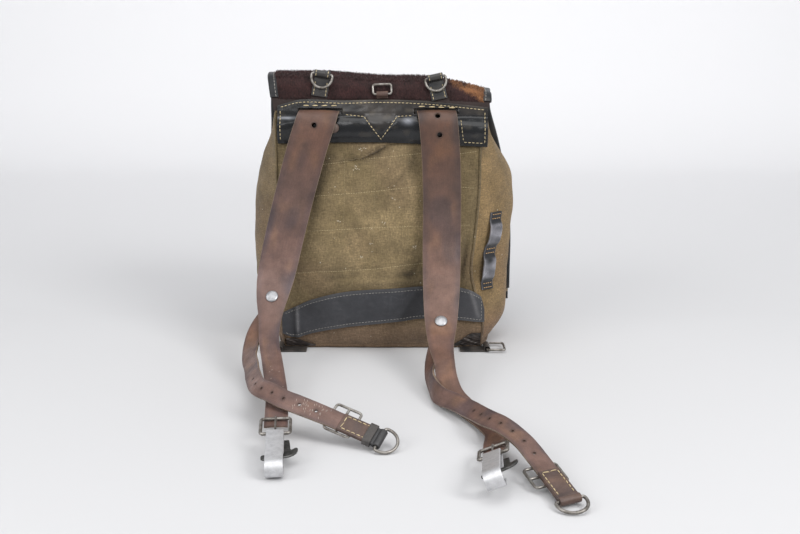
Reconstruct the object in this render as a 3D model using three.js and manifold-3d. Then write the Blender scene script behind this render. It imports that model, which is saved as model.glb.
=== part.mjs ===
// A military rucksack of canvas, leather and hide, standing on its base with its straps laid out in front.
// Millimetres, +Z up. The wearer's side faces -Y and the origin is the middle of the base.
import * as THREE from "three";
import { mergeVertices } from "three/addons/utils/BufferGeometryUtils.js";
import loadManifold from "manifold-3d";

const manifold = await loadManifold();
manifold.setup();

const { Vector2, Vector3 } = THREE;
const { clamp, lerp, smoothstep, degToRad, radToDeg } = THREE.MathUtils;

// Thicknesses and clearances
const GAP = 0.3;
const CANVAS = 2;
const HIDE = 3;
const LEATHER = 2.4;
const BINDING = 1.5;
const BINDING_REACH = 10;
const BASE_THICKNESS = 2.4;

// Heights of the bag
const WALL_BOTTOM = BASE_THICKNESS + GAP;
const RIM = 285;
const FRONT_CROWN = 6;
const HEIGHT_STEPS = 16;
const GUSSET_ARCH = { left: 26, right: 11.5 };

// The bag in level sections: the two back seams, the wearer's side, the sides' swell and the far side
const BODY = [
  { z: 2.7, left: -119, right: 117, backY: -46, belly: 3, swellLeft: 9, swellRight: 10, frontY: 46 },
  { z: 14, left: -120, right: 118, backY: -50, belly: 5, swellLeft: 15, swellRight: 20, frontY: 49 },
  { z: 32, left: -121, right: 119, backY: -53, belly: 8, swellLeft: 21, swellRight: 30, frontY: 52 },
  { z: 62, left: -122, right: 112, backY: -55, belly: 12, swellLeft: 30, swellRight: 41, frontY: 55 },
  { z: 95, left: -122, right: 104, backY: -56, belly: 16, swellLeft: 35, swellRight: 49, frontY: 57 },
  { z: 135, left: -122, right: 107, backY: -56, belly: 18, swellLeft: 36, swellRight: 49, frontY: 58 },
  { z: 180, left: -122, right: 111, backY: -56, belly: 16, swellLeft: 33, swellRight: 46, frontY: 57 },
  { z: 212, left: -122, right: 112, backY: -56, belly: 12, swellLeft: 28, swellRight: 41, frontY: 56 },
  { z: 240, left: -122, right: 112, backY: -56, belly: 9, swellLeft: 18, swellRight: 25, frontY: 53 },
  { z: 262, left: -122, right: 114, backY: -55, belly: 6, swellLeft: 9, swellRight: 12, frontY: 50 },
  { z: 285, left: -122, right: 116, backY: -54, belly: 4, swellLeft: 5, swellRight: 6, frontY: 48 },
];

// Folds pressed into the wearer's side: middle, half length along the fold, half width, depth and slope
const FOLDS = [
  { x: -18, z: 232, length: 34, width: 7, depth: 2.6, slope: 24 },
  { x: 12, z: 214, length: 30, width: 8, depth: 2.0, slope: 18 },
  { x: 92, z: 98, length: 34, width: 8, depth: 5.0, slope: 82 },
  { x: -30, z: 168, length: 46, width: 9, depth: 1.8, slope: 8 },
  { x: 20, z: 118, length: 44, width: 10, depth: 2.2, slope: -6 },
  { x: -70, z: 112, length: 26, width: 9, depth: 2.4, slope: 58 },
];

// The flap in sections from the back rim, over the top and down the far side: its line at the
// edges, its two edges, how far the middle swells out of that line, and how far the right side sinks
const FLAP = [
  { y: -54, z: 285.3, left: -124, right: 120.5, crown: -3.2, slump: 0 },
  { y: -51, z: 300, left: -126, right: 122.5, crown: -4, slump: 5 },
  { y: -47, z: 313, left: -128, right: 123, crown: -4, slump: 13 },
  { y: -37, z: 322, left: -130, right: 123.5, crown: -3, slump: 19 },
  { y: -18, z: 324.8, left: -132, right: 124, crown: 0, slump: 21 },
  { y: 10, z: 323.6, left: -134, right: 126, crown: 0, slump: 20 },
  { y: 36, z: 320, left: -136, right: 128.5, crown: 2, slump: 17 },
  { y: 52, z: 306, left: -138, right: 130, crown: 4, slump: 12 },
  { y: 58, z: 285, left: -139, right: 131, crown: 6, slump: 7 },
  { y: 62, z: 240, left: -141, right: 143, crown: 8, slump: 3 },
  { y: 66, z: 180, left: -150, right: 156, crown: 9, slump: 0 },
  { y: 66, z: 120, left: -158, right: 161, crown: 8, slump: 0 },
  { y: 64, z: 70, left: -163, right: 161, crown: 7, slump: 0 },
  { y: 62, z: 34, left: -165, right: 161, crown: 6, slump: 0 },
];
const SLUMP_SLOPE = { from: -75, to: 10, share: 0.24 };
const SLUMP_DROP = { from: 42, reach: 80, power: 1.5 };
const BINDING_START = 1;
const BINDING_END = 0.36;
const BINDING_CLEAR = 0.5;

// The yoke across the back: its upper and lower edges, and the padding's rise from bottom to top
const YOKE_EDGES = [
  { x: -119.5, top: 291.5, bottom: 248 },
  { x: -92, top: 298, bottom: 249 },
  { x: -45, top: 297, bottom: 250 },
  { x: 0, top: 298, bottom: 250 },
  { x: 50, top: 296, bottom: 248 },
  { x: 120, top: 289, bottom: 244 },
];
const YOKE_PADDING = [
  { part: 0, rise: 2.6 },
  { part: 0.18, rise: 7.5 },
  { part: 0.36, rise: 9 },
  { part: 0.55, rise: 7 },
  { part: 0.7, rise: 4.4 },
  { part: 1, rise: 2.6 },
];
const YOKE_LEAN = 0.2;
const YOKE_CLEAR = 0.5;
const SLOT = { width: 48, height: 5.6, z: 284.9, left: -70.4, right: 61 };

// The leather band low on the back, a crescent that drops at both ends
const BAND_EDGES = [
  { x: -121, top: 46, bottom: 20 },
  { x: -106, top: 54, bottom: 15 },
  { x: -83, top: 65, bottom: 22 },
  { x: -41, top: 76, bottom: 30.5 },
  { x: 20, top: 80.5, bottom: 38 },
  { x: 46, top: 82, bottom: 41.5 },
  { x: 92, top: 78, bottom: 38 },
  { x: 116, top: 66, bottom: 35 },
  { x: 121, top: 50, bottom: 34.5 },
];
const BAND_CLEAR = 0.9;

// The strip on each side of the bag, sewn down in three places so that it forms two loops
const SIDE_LOOP_LIFT = [
  { z: 73, lift: 0 },
  { z: 82, lift: 0 },
  { z: 89, lift: 5.8 },
  { z: 109, lift: 5.8 },
  { z: 116, lift: 0 },
  { z: 124, lift: 0 },
  { z: 131, lift: 5.8 },
  { z: 150, lift: 5.8 },
  { z: 157, lift: 0 },
  { z: 166, lift: 0 },
];
const SIDE_LOOP_WIDTH = 17;
const SIDE_LOOP_PLACE = {
  left: { bottom: 0.78, top: 0.82 },
  right: { bottom: 0.09, top: 0.14 },
};

// Straps along their middles: width, and the way the face looks (tilt up from level, turn to +X)
const SHOULDER_STRAP = {
  left: [
    { x: -70.4, y: -60, z: 285.4, width: 44.5, tilt: 88, turn: 0 },
    { x: -71.5, y: -66, z: 284.6, width: 44.5, tilt: 70, turn: 0 },
    { x: -73.8, y: -72.5, z: 278, width: 44.5, tilt: 25, turn: 0 },
    { x: -83.1, y: -75, z: 250.7, width: 44.5, tilt: 6, turn: 0 },
    { x: -95.5, y: -76, z: 208.6, width: 44.5, tilt: 4, turn: 0 },
    { x: -106.5, y: -77, z: 168.3, width: 44.5, tilt: 6, turn: 0 },
    { x: -115, y: -80, z: 134, width: 44.5, tilt: 10, turn: -2 },
    { x: -122.3, y: -88, z: 100.7, width: 43.5, tilt: 24, turn: -4 },
    { x: -125.8, y: -102, z: 78.3, width: 36.5, tilt: 38, turn: -4 },
    { x: -126.3, y: -122, z: 59.3, width: 26, tilt: 50, turn: 0 },
    { x: -124.2, y: -152, z: 43, width: 22, tilt: 64, turn: 6 },
    { x: -116.7, y: -188, z: 32.1, width: 22, tilt: 76, turn: 0 },
    { x: -108.9, y: -228, z: 24.5, width: 22, tilt: 82, turn: 0 },
    { x: -101.9, y: -272, z: 23.5, width: 22, tilt: 86, turn: 0 },
    { x: -96.9, y: -316, z: 23, width: 22, tilt: 86, turn: 0 },
    { x: -94.7, y: -340, z: 20, width: 22, tilt: 84, turn: 0 },
  ],
  right: [
    { x: 61, y: -59.5, z: 285.4, width: 43.5, tilt: 88, turn: 0 },
    { x: 61.5, y: -66, z: 284.6, width: 43.5, tilt: 70, turn: 0 },
    { x: 62.7, y: -72.5, z: 278, width: 43.5, tilt: 25, turn: 0 },
    { x: 65.4, y: -75, z: 250.7, width: 43.5, tilt: 6, turn: 0 },
    { x: 67.5, y: -77, z: 208.9, width: 43.5, tilt: 4, turn: 0 },
    { x: 67.9, y: -81, z: 169.3, width: 43.5, tilt: 8, turn: 0 },
    { x: 67.6, y: -88, z: 130.2, width: 43.5, tilt: 14, turn: 0 },
    { x: 67.1, y: -104, z: 93, width: 42, tilt: 26, turn: 0 },
    { x: 65.7, y: -134, z: 58.2, width: 36, tilt: 42, turn: 0 },
    { x: 64.8, y: -164, z: 43, width: 28, tilt: 55, turn: 0 },
    { x: 66.8, y: -192, z: 33.8, width: 22.6, tilt: 62, turn: -4 },
    { x: 69, y: -218, z: 22.4, width: 22, tilt: 60, turn: -16 },
    { x: 74, y: -238, z: 13, width: 22, tilt: 62, turn: -30 },
    { x: 84, y: -258, z: 8, width: 22, tilt: 68, turn: -38 },
    { x: 96, y: -281, z: 6.5, width: 22, tilt: 72, turn: -40 },
    { x: 106, y: -306, z: 6.8, width: 22, tilt: 70, turn: -38 },
    { x: 110, y: -331, z: 8.5, width: 22, tilt: 66, turn: -34 },
    { x: 106.5, y: -356, z: 9, width: 22, tilt: 62, turn: -38 },
    { x: 103.5, y: -383, z: 13, width: 21.4, tilt: 58, turn: -44 },
  ],
};
const RIVET_ROW = 8;
const UNDER_STEPS = [-11, 0, 11];
const STRAP_CLEAR = 0.6;

// The narrow straps that start under the rivets; these rows follow those under the shoulder strap
const SIDE_STRAP = {
  left: [
    { x: -141, y: -127, z: 48, width: 19, tilt: 48, turn: -20 },
    { x: -144.5, y: -148, z: 37.5, width: 19, tilt: 52, turn: -34 },
    { x: -142.5, y: -178, z: 31.5, width: 19, tilt: 46, turn: -50 },
    { x: -136, y: -208, z: 31.5, width: 19, tilt: 42, turn: -54 },
    { x: -131, y: -235, z: 32, width: 19, tilt: 42, turn: -46 },
    { x: -119, y: -276, z: 34.5, width: 19, tilt: 44, turn: -32 },
    { x: -104.8, y: -294.6, z: 36, width: 19, tilt: 46, turn: -22 },
    { x: -90.7, y: -310, z: 35, width: 19, tilt: 48, turn: -14 },
    { x: -76.3, y: -318, z: 32.8, width: 19, tilt: 50, turn: -8 },
    { x: -60.8, y: -325, z: 29.4, width: 19, tilt: 54, turn: -4 },
    { x: -46.9, y: -330.7, z: 25.8, width: 19, tilt: 58, turn: 0 },
    { x: -35, y: -334.8, z: 22, width: 19, tilt: 60, turn: 0 },
  ],
  right: [
    { x: 57, y: -168, z: 29.5, width: 19, tilt: 44, turn: -34 },
    { x: 51.4, y: -194, z: 20.2, width: 19, tilt: 24, turn: -78 },
    { x: 53.2, y: -217, z: 14.8, width: 19, tilt: 16, turn: -88 },
    { x: 60.5, y: -244, z: 13.2, width: 19, tilt: 34, turn: -66 },
    { x: 74, y: -266, z: 15.3, width: 19, tilt: 48, turn: -42 },
    { x: 88, y: -292, z: 17.5, width: 19, tilt: 48, turn: -36 },
    { x: 101, y: -330, z: 24, width: 19, tilt: 52, turn: -26 },
    { x: 115, y: -356, z: 26.5, width: 19, tilt: 58, turn: -8 },
    { x: 129, y: -381, z: 23, width: 19, tilt: 60, turn: 4 },
    { x: 139, y: -404, z: 16.7, width: 19, tilt: 58, turn: 8 },
    { x: 145, y: -422, z: 13.3, width: 19, tilt: 58, turn: 8 },
  ],
};
const SIDE_STRAP_WIDTH = 19;

// Punched holes: radius, and distances along each strap
const PUNCH_RADIUS = 2.2;
const SHOULDER_PUNCHES = { left: [24], right: [13, 34.6] };
const SIDE_PUNCH_SPACING = 18;
const SIDE_PUNCH_COUNT = 7;
const SIDE_PUNCH_END = 26;

// Hardware sizes
const RIVET = { head: 7, rise: 2, shank: 2.2, clear: 0.9 };
const HOOK_FRAME = { width: 27, length: 27, wire: 1.6, tongueClear: 5 };
const HOOK = { width: 16, strip: 1.8, plate: 50, curl: 7.5, wing: 35 };
const BUCKLE = { width: 30, length: 26, wire: 1.3 };
const BUCKLE_ASIDE = { left: -4.5, right: 2 };
const CHAPE = { width: 19, length: 40, thickness: 4.4, knuckle: 4 };
const KEEPER_AT = 26.5;
const END_RING = { width: 26, depth: 17, wire: 1.5 };
const TOP_RING = { width: 23.5, depth: 15.5, wire: 1.5 };
const TOP_TAB = { width: 18, height: 25, thickness: 2.2, knuckle: 4 };
const TOP_TAB_LEFT = { x: -72, turn: -14 };
const TOP_TAB_RIGHT = { x: 66, turn: 14.5 };
const CENTRE_LOOP = { width: 20.8, depth: 11, wire: 1.3 };
const CENTRE_TAB = { x: 0.4, width: 13, height: 1.2, thickness: 2.2, knuckle: 3.3 };
const CORNER_TAB = { inner: 92, outer: 124, near: -66, far: -47.6, thickness: 1.8, knuckle: 3.8 };
const CORNER_LOOP = { width: 26, depth: 21, wire: 1.4 };
const BORE_CLEAR = 0.4;

const FINISH = {
  canvas: { color: 0x80714f, roughness: 0.95, metalness: 0 },
  hide: { color: 0x46302b, roughness: 0.9, metalness: 0 },
  blackLeather: { color: 0x3a3a3d, roughness: 0.5, metalness: 0 },
  strapLeather: { color: 0x73543f, roughness: 0.6, metalness: 0 },
  steel: { color: 0x8a8884, roughness: 0.45, metalness: 1 },
  aluminium: { color: 0xb4b4b2, roughness: 0.4, metalness: 1 },
};

const pack = new THREE.Group();

function add(name, geometry, finish) {
  const mesh = new THREE.Mesh(geometry, new THREE.MeshStandardMaterial(FINISH[finish]));
  mesh.name = name;
  pack.add(mesh);
  return mesh;
}

// One column of a table, followed smoothly between its rows
function columnAt(rows, key, at, name) {
  const last = rows.length - 1;
  let i = 0;
  while (i < last - 1 && at > rows[i + 1][key]) {
    i += 1;
  }
  const from = rows[i];
  const to = rows[i + 1];
  const before = rows[Math.max(i - 1, 0)];
  const after = rows[Math.min(i + 2, last)];
  const span = to[key] - from[key];
  const t = clamp((at - from[key]) / span, 0, 1);
  const slopeIn = ((to[name] - before[name]) / (to[key] - before[key])) * span;
  const slopeOut = ((after[name] - from[name]) / (after[key] - from[key])) * span;
  const cube = t * t * t;
  const square = t * t;
  return (
    (2 * cube - 3 * square + 1) * from[name] +
    (cube - 2 * square + t) * slopeIn +
    (3 * square - 2 * cube) * to[name] +
    (cube - square) * slopeOut
  );
}

// A whole table row at any place: rows numbered 0, 1, 2 and so on
function rowAt(rows, place) {
  const numbered = rows.map((row, index) => ({ ...row, index }));
  const names = Object.keys(rows[0]);
  return Object.fromEntries(names.map((name) => [name, columnAt(numbered, "index", place, name)]));
}

function spread(from, to, count) {
  return Array.from({ length: count }, (_, i) => lerp(from, to, i / (count - 1)));
}

function bufferOf(points, faces) {
  const geometry = new THREE.BufferGeometry();
  geometry.setFromPoints(points);
  geometry.setIndex(faces);
  return facingOut(geometry);
}

// Turns a closed surface the right way round by the sign of the volume it holds
function facingOut(geometry) {
  const position = geometry.getAttribute("position");
  const index = geometry.getIndex();
  const corners = [new Vector3(), new Vector3(), new Vector3()];
  let volume = 0;
  for (let i = 0; i < index.count; i += 3) {
    corners.forEach((corner, k) => corner.fromBufferAttribute(position, index.getX(i + k)));
    volume += corners[0].dot(corners[1].clone().cross(corners[2]));
  }
  if (volume < 0) {
    const flipped = Array.from(index.array);
    flipped.reverse();
    geometry.setIndex(flipped);
  }
  geometry.computeVertexNormals();
  return geometry;
}

// A closed wall between two grids of points, outer[row][column] and inner[row][column]
function slab(outer, inner) {
  const rows = outer.length;
  const columns = outer[0].length;
  const end = columns - 1;
  const points = [...outer.flat(), ...inner.flat()];
  const at = (layer, row, column) => (layer * rows + row) * columns + column;
  const faces = [];
  const quad = (a, b, c, d) => faces.push(a, b, c, a, c, d);
  for (let r = 0; r < rows - 1; r += 1) {
    for (let c = 0; c < columns - 1; c += 1) {
      quad(at(0, r, c), at(0, r, c + 1), at(0, r + 1, c + 1), at(0, r + 1, c));
      quad(at(1, r, c), at(1, r + 1, c), at(1, r + 1, c + 1), at(1, r, c + 1));
    }
    quad(at(0, r + 1, 0), at(1, r + 1, 0), at(1, r, 0), at(0, r, 0));
    quad(at(0, r, end), at(1, r, end), at(1, r + 1, end), at(0, r + 1, end));
  }
  for (let c = 0; c < columns - 1; c += 1) {
    quad(at(0, 0, c), at(1, 0, c), at(1, 0, c + 1), at(0, 0, c + 1));
    quad(at(0, rows - 1, c + 1), at(1, rows - 1, c + 1), at(1, rows - 1, c), at(0, rows - 1, c));
  }
  return bufferOf(points, faces);
}

// The unit normal of a surface given as pointAt(u, v), turned to look towards a given way
function normalAt(pointAt, u, v, stepU, stepV, towards) {
  const alongU = pointAt(u + stepU, v).sub(pointAt(u - stepU, v));
  const alongV = pointAt(u, v + stepV).sub(pointAt(u, v - stepV));
  const normal = alongU.cross(alongV).normalize();
  return normal.dot(towards) < 0 ? normal.negate() : normal;
}

// A section carried along frames { origin, a, b }: section x goes along a, section y along b
function sweep(section, frames, closed) {
  const points = frames.flatMap(({ origin, a, b }) =>
    section.map((p) => origin.clone().addScaledVector(a, p.x).addScaledVector(b, p.y)),
  );
  const size = section.length;
  const steps = closed ? frames.length : frames.length - 1;
  const faces = [];
  for (let i = 0; i < steps; i += 1) {
    const here = i * size;
    const next = ((i + 1) % frames.length) * size;
    for (let k = 0; k < size; k += 1) {
      const k2 = (k + 1) % size;
      faces.push(here + k, here + k2, next + k2, here + k, next + k2, next + k);
    }
  }
  if (!closed) {
    const last = (frames.length - 1) * size;
    const clockwise = THREE.ShapeUtils.isClockWise(section);
    for (const [p, q, r] of THREE.ShapeUtils.triangulateShape(section, [])) {
      const [a, b, c] = clockwise ? [r, q, p] : [p, q, r];
      faces.push(a, c, b, last + a, last + b, last + c);
    }
  }
  return bufferOf(points, faces);
}

function roundSection(radius, sides) {
  return spread(0, 2 * Math.PI, sides + 1)
    .slice(0, sides)
    .map((angle) => new Vector2(radius * Math.cos(angle), radius * Math.sin(angle)));
}

// A wire bent into a closed flat outline in the XY plane
function wireLoop(outline, radius) {
  const count = outline.length;
  const frames = outline.map((p, i) => {
    const before = p.clone().sub(outline[(i + count - 1) % count]).normalize();
    const after = outline[(i + 1) % count].clone().sub(p).normalize();
    const along = before.clone().add(after).normalize();
    const stretch = 1 / Math.max(along.dot(after), 0.5);
    return {
      origin: new Vector3(p.x, p.y, 0),
      a: new Vector3(along.y * stretch, -along.x * stretch, 0),
      b: new Vector3(0, 0, 1),
    };
  });
  return sweep(roundSection(radius, 5), frames, true);
}

// Points on an arc, from one angle in degrees to another, in a number of steps
function arc(x, y, radiusX, radiusY, from, to, steps) {
  return spread(degToRad(from), degToRad(to), steps + 1)
    .map((angle) => new Vector2(x + radiusX * Math.cos(angle), y + radiusY * Math.sin(angle)));
}

function rectangleOutline(width, nearY, farY, corner) {
  const side = width / 2 - corner;
  return [
    ...arc(side, nearY + corner, corner, corner, -90, 0, 2),
    ...arc(side, farY - corner, corner, corner, 0, 90, 2),
    ...arc(-side, farY - corner, corner, corner, 90, 180, 2),
    ...arc(-side, nearY + corner, corner, corner, 180, 270, 2),
  ];
}

// A D: the straight bar on the X axis, the bow reaching to y = depth
function bowOutline(width, depth) {
  const half = width / 2;
  const corner = 2.4;
  const shoulder = Math.max(depth - half, corner + 0.6);
  return [
    ...arc(half - corner, corner, corner, corner, -90, 0, 2),
    ...arc(0, shoulder, half, depth - shoulder, 0, 180, 9),
    ...arc(-half + corner, corner, corner, corner, 180, 270, 2),
  ];
}

function withoutRepeats(points) {
  return points.filter((p, i) => p.distanceTo(points[(i + 1) % points.length]) > 0.05);
}

// Booleans
function solidOf(geometry) {
  const bare = new THREE.BufferGeometry();
  bare.setAttribute("position", geometry.getAttribute("position"));
  bare.setIndex(geometry.getIndex());
  const merged = mergeVertices(bare, 1e-4);
  const mesh = new manifold.Mesh({
    numProp: 3,
    vertProperties: new Float32Array(merged.getAttribute("position").array),
    triVerts: new Uint32Array(merged.getIndex().array),
  });
  return new manifold.Manifold(mesh);
}

function geometryOf(solid) {
  const mesh = solid.getMesh();
  const geometry = new THREE.BufferGeometry();
  geometry.setAttribute("position", new THREE.BufferAttribute(new Float32Array(mesh.vertProperties), 3));
  geometry.setIndex(Array.from(mesh.triVerts));
  geometry.computeVertexNormals();
  return geometry;
}

function cut(geometry, tools) {
  return geometryOf(tools.reduce((left, tool) => left.subtract(solidOf(tool)), solidOf(geometry)));
}

function join(geometries) {
  return geometryOf(geometries.map(solidOf).reduce((sum, solid) => sum.add(solid)));
}

// A flat outline in the YZ plane of a piece, drawn out evenly along its X
function drawnAlongX(shape, width, curveSegments = 6) {
  const geometry = new THREE.ExtrudeGeometry(shape, { depth: width, bevelEnabled: false, curveSegments });
  geometry.translate(0, 0, -width / 2);
  geometry.applyMatrix4(new THREE.Matrix4().makeBasis(
    new Vector3(0, 1, 0),
    new Vector3(0, 0, 1),
    new Vector3(1, 0, 0),
  ));
  return geometry;
}

function shapeFrom(points) {
  return new THREE.Shape(points.map(([x, y]) => new Vector2(x, y)));
}

// A straight round bar along X
function barAlongX(length, radius) {
  const bar = new THREE.CylinderGeometry(radius, radius, length, 8);
  bar.rotateZ(Math.PI / 2);
  return bar;
}

function placed(geometry, matrix) {
  const copy = geometry.clone();
  copy.applyMatrix4(matrix);
  return copy;
}

function frameMatrix({ origin, across, along, normal }) {
  return new THREE.Matrix4().makeBasis(across, along, normal).setPosition(origin);
}

function shifted(matrix, x, y, z) {
  return matrix.clone().multiply(new THREE.Matrix4().makeTranslation(x, y, z));
}

function pitched(matrix, degrees) {
  return matrix.clone().multiply(new THREE.Matrix4().makeRotationX(degToRad(degrees)));
}

// Canvas bag
function bodyAt(z) {
  const names = ["left", "right", "backY", "belly", "swellLeft", "swellRight", "frontY"];
  return Object.fromEntries(names.map((name) => [name, columnAt(BODY, "z", z, name)]));
}

function foldDepth(x, z) {
  return FOLDS.reduce((sum, fold) => {
    const angle = degToRad(fold.slope);
    const dx = x - fold.x;
    const dz = z - fold.z;
    const along = (dx * Math.cos(angle) + dz * Math.sin(angle)) / fold.length;
    const aside = (dz * Math.cos(angle) - dx * Math.sin(angle)) / fold.width;
    return sum + fold.depth * Math.exp(-along * along - aside * aside);
  }, 0);
}

// The wearer's side, s from -1 at the left seam to 1 at the right one
function backPoint(s, z) {
  const body = bodyAt(z);
  const x = lerp(body.left, body.right, (s + 1) / 2);
  const middle = 1 - s * s;
  return new Vector3(x, body.backY - body.belly * middle + foldDepth(x, z) * Math.min(1, 2 * middle), z);
}

function backYAt(x, z) {
  const body = bodyAt(z);
  const s = ((x - body.left) / (body.right - body.left)) * 2 - 1;
  return backPoint(clamp(s, -1, 1), z).y;
}

function frontPoint(s, z) {
  const body = bodyAt(z);
  return new Vector3(lerp(body.left, body.right, (s + 1) / 2), body.frontY + FRONT_CROWN * (1 - s * s), z);
}

// A side of the bag, t from 0 at the back seam to 1 at the front one
function gussetPoint(side, t, z) {
  const body = bodyAt(z);
  const seam = side < 0 ? body.left : body.right;
  const swell = side < 0 ? body.swellLeft : body.swellRight;
  const x = seam + side * (GAP + swell * 4 * t * (1 - t));
  return new Vector3(x, lerp(body.backY, body.frontY, t), z);
}

const heights = spread(WALL_BOTTOM, RIM, HEIGHT_STEPS);

function panelWall(pointAt, inward, columns) {
  const outer = heights.map((z) => columns.map((s) => pointAt(s, z)));
  const inner = heights.map((z) => columns.map((s) => pointAt(s, z).addScaledVector(inward, CANVAS)));
  return slab(outer, inner);
}

// The sides' upper edges arch up under the flap
function gussetWall(side, columns) {
  const places = spread(0, 1, columns);
  const arch = side < 0 ? GUSSET_ARCH.left : GUSSET_ARCH.right;
  const heightAt = (t, z) => z + arch * Math.max(0, 8 * t * (1 - t) - 1) * Math.pow(z / RIM, 4);
  const outer = heights.map((z) => places.map((t) => gussetPoint(side, t, heightAt(t, z))));
  const inner = heights.map((level, row) => places.map((t, k) => {
    const z = heightAt(t, level);
    const edge = k === 0 ? 1 : k === columns - 1 ? -1 : 0;
    const run = gussetPoint(side, t + 0.01, z).sub(gussetPoint(side, t - 0.01, z)).normalize();
    const inward = edge ? new Vector3(0, edge, 0) : new Vector3(-side * run.y, side * run.x, 0);
    return outer[row][k].clone().addScaledVector(inward, CANVAS);
  }));
  return slab(outer, inner);
}

function baseOutline() {
  const z = WALL_BOTTOM;
  const across = spread(-1, 1, 9);
  const around = spread(0.1, 0.9, 7);
  const points = [
    ...across.map((s) => backPoint(s, z)),
    ...around.map((t) => gussetPoint(1, t, z)),
    ...[...across].reverse().map((s) => frontPoint(s, z)),
    ...[...around].reverse().map((t) => gussetPoint(-1, t, z)),
  ];
  return new THREE.Shape(points.map((p) => new Vector2(p.x, p.y)));
}

add("back_panel", panelWall(backPoint, new Vector3(0, 1, 0), spread(-1, 1, 19)), "canvas");
add("front_panel", panelWall(frontPoint, new Vector3(0, -1, 0), spread(-1, 1, 7)), "canvas");
add("gusset_left", gussetWall(-1, 8), "canvas");
add("gusset_right", gussetWall(1, 8), "canvas");
const basePlate = new THREE.ExtrudeGeometry(baseOutline(), { depth: BASE_THICKNESS, bevelEnabled: false });
add("base_panel", basePlate, "canvas");

// Flap of hide with its leather bindings
function flapPoint(place, s) {
  const row = rowAt(FLAP, place);
  const x = lerp(row.left, row.right, (s + 1) / 2);
  const slope = SLUMP_SLOPE.share * smoothstep(x, SLUMP_SLOPE.from, SLUMP_SLOPE.to);
  const drop = Math.pow(clamp((x - SLUMP_DROP.from) / SLUMP_DROP.reach, 0, 1), SLUMP_DROP.power);
  const sink = row.slump * (slope + (1 - SLUMP_SLOPE.share) * drop);
  return new Vector3(x, row.y + row.crown * (1 - s * s), row.z - sink);
}

function flapNormal(place, s) {
  const end = FLAP.length - 1;
  const inside = clamp(place, 0.02, end - 0.02);
  const across = clamp(s, -0.98, 0.98);
  const row = rowAt(FLAP, inside);
  const outward = new Vector3(0, row.y, Math.max(row.z - 260, 0));
  return normalAt((u, v) => flapPoint(clamp(u, 0, end), v), inside, across, 0.02, 0.02, outward);
}

const flapPlaces = [0, 0.5, ...spread(1, 8, 15), ...spread(8.8, FLAP.length - 1, 6)];
const flapHem = 0.91;
const flapAcross = [-1, ...spread(-flapHem, flapHem, 10), 1];
const flapOuter = flapPlaces.map((place) => flapAcross.map((s) => flapPoint(place, s)));
const flapInner = flapPlaces.map((place) =>
  flapAcross.map((s) => {
    const inward = place === 0 ? new Vector3(0, -1, 0) : flapNormal(place, s);
    return flapPoint(place, s).addScaledVector(inward, place === 0 ? -CANVAS : -HIDE);
  }),
);
add("lid_flap", slab(flapOuter, flapInner), "hide");

const foldedBinding = [
  new Vector2(BINDING_REACH, BINDING_CLEAR),
  new Vector2(BINDING_REACH, BINDING_CLEAR + BINDING),
  new Vector2(-BINDING_CLEAR - BINDING, BINDING_CLEAR + BINDING),
  new Vector2(-BINDING_CLEAR - BINDING, -HIDE - BINDING_CLEAR - BINDING),
  new Vector2(BINDING_REACH, -HIDE - BINDING_CLEAR - BINDING),
  new Vector2(BINDING_REACH, -HIDE - BINDING_CLEAR),
  new Vector2(-BINDING_CLEAR, -HIDE - BINDING_CLEAR),
  new Vector2(-BINDING_CLEAR, BINDING_CLEAR),
];

function bindingFrame(edge, inside, normal) {
  const a = inside.clone().sub(edge).normalize();
  const b = normal.clone().addScaledVector(a, -normal.dot(a)).normalize();
  return { origin: edge, a, b };
}

function sideBinding(side) {
  const places = flapPlaces.filter((place) => place >= BINDING_START).slice(0, -1);
  const last = FLAP.length - 1 - BINDING_END;
  const frames = [...places, last].map((place) =>
    bindingFrame(flapPoint(place, side), flapPoint(place, side * flapHem), flapNormal(place, side)));
  return sweep(foldedBinding, frames, false);
}

function frontBinding() {
  const end = FLAP.length - 1;
  const frames = flapAcross.map((s) =>
    bindingFrame(flapPoint(end, s), flapPoint(end - 0.4, s), flapNormal(end, s)));
  return sweep(foldedBinding, frames, false);
}

add("flap_binding_left", sideBinding(-1), "blackLeather");
add("flap_binding_right", sideBinding(1), "blackLeather");
add("flap_binding_front", frontBinding(), "blackLeather");

// Padded yoke with a slot for each strap
function yokePoint(x, part, rise) {
  const bottom = columnAt(YOKE_EDGES, "x", x, "bottom");
  const top = columnAt(YOKE_EDGES, "x", x, "top");
  const z = lerp(bottom, top, part);
  const above = Math.max(z - RIM, 0);
  return new Vector3(x, backYAt(x, Math.min(z, RIM)) + above * YOKE_LEAN - YOKE_CLEAR - rise, z);
}

function yokeSolid() {
  const parts = spread(0, 1, 9);
  const columns = spread(YOKE_EDGES[0].x, YOKE_EDGES.at(-1).x, 19);
  const rise = (part) => columnAt(YOKE_PADDING, "part", part, "rise");
  const outer = parts.map((part) => columns.map((x) => yokePoint(x, part, rise(part))));
  const inner = parts.map((part) => columns.map((x) => yokePoint(x, part, 0)));
  const slots = [SLOT.left, SLOT.right].map((x) => {
    const box = new THREE.BoxGeometry(SLOT.width, 30, SLOT.height);
    return box.translate(x, -65, SLOT.z);
  });
  return cut(slab(outer, inner), slots);
}

add("yoke", yokeSolid(), "blackLeather");

// The band, its ends bent round on to the bag's sides
function bandPoint(x, part, rise) {
  const bottom = columnAt(BAND_EDGES, "x", x, "bottom");
  const top = columnAt(BAND_EDGES, "x", x, "top");
  const z = lerp(bottom, top, part);
  const body = bodyAt(z);
  const pastLeft = Math.max(body.left - x, 0) / (4 * body.swellLeft);
  const pastRight = Math.max(x - body.right, 0) / (4 * body.swellRight);
  const round = (body.frontY - body.backY) * (pastLeft + pastRight);
  return new Vector3(x, backYAt(x, z) + round - BAND_CLEAR - rise, z);
}

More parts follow.
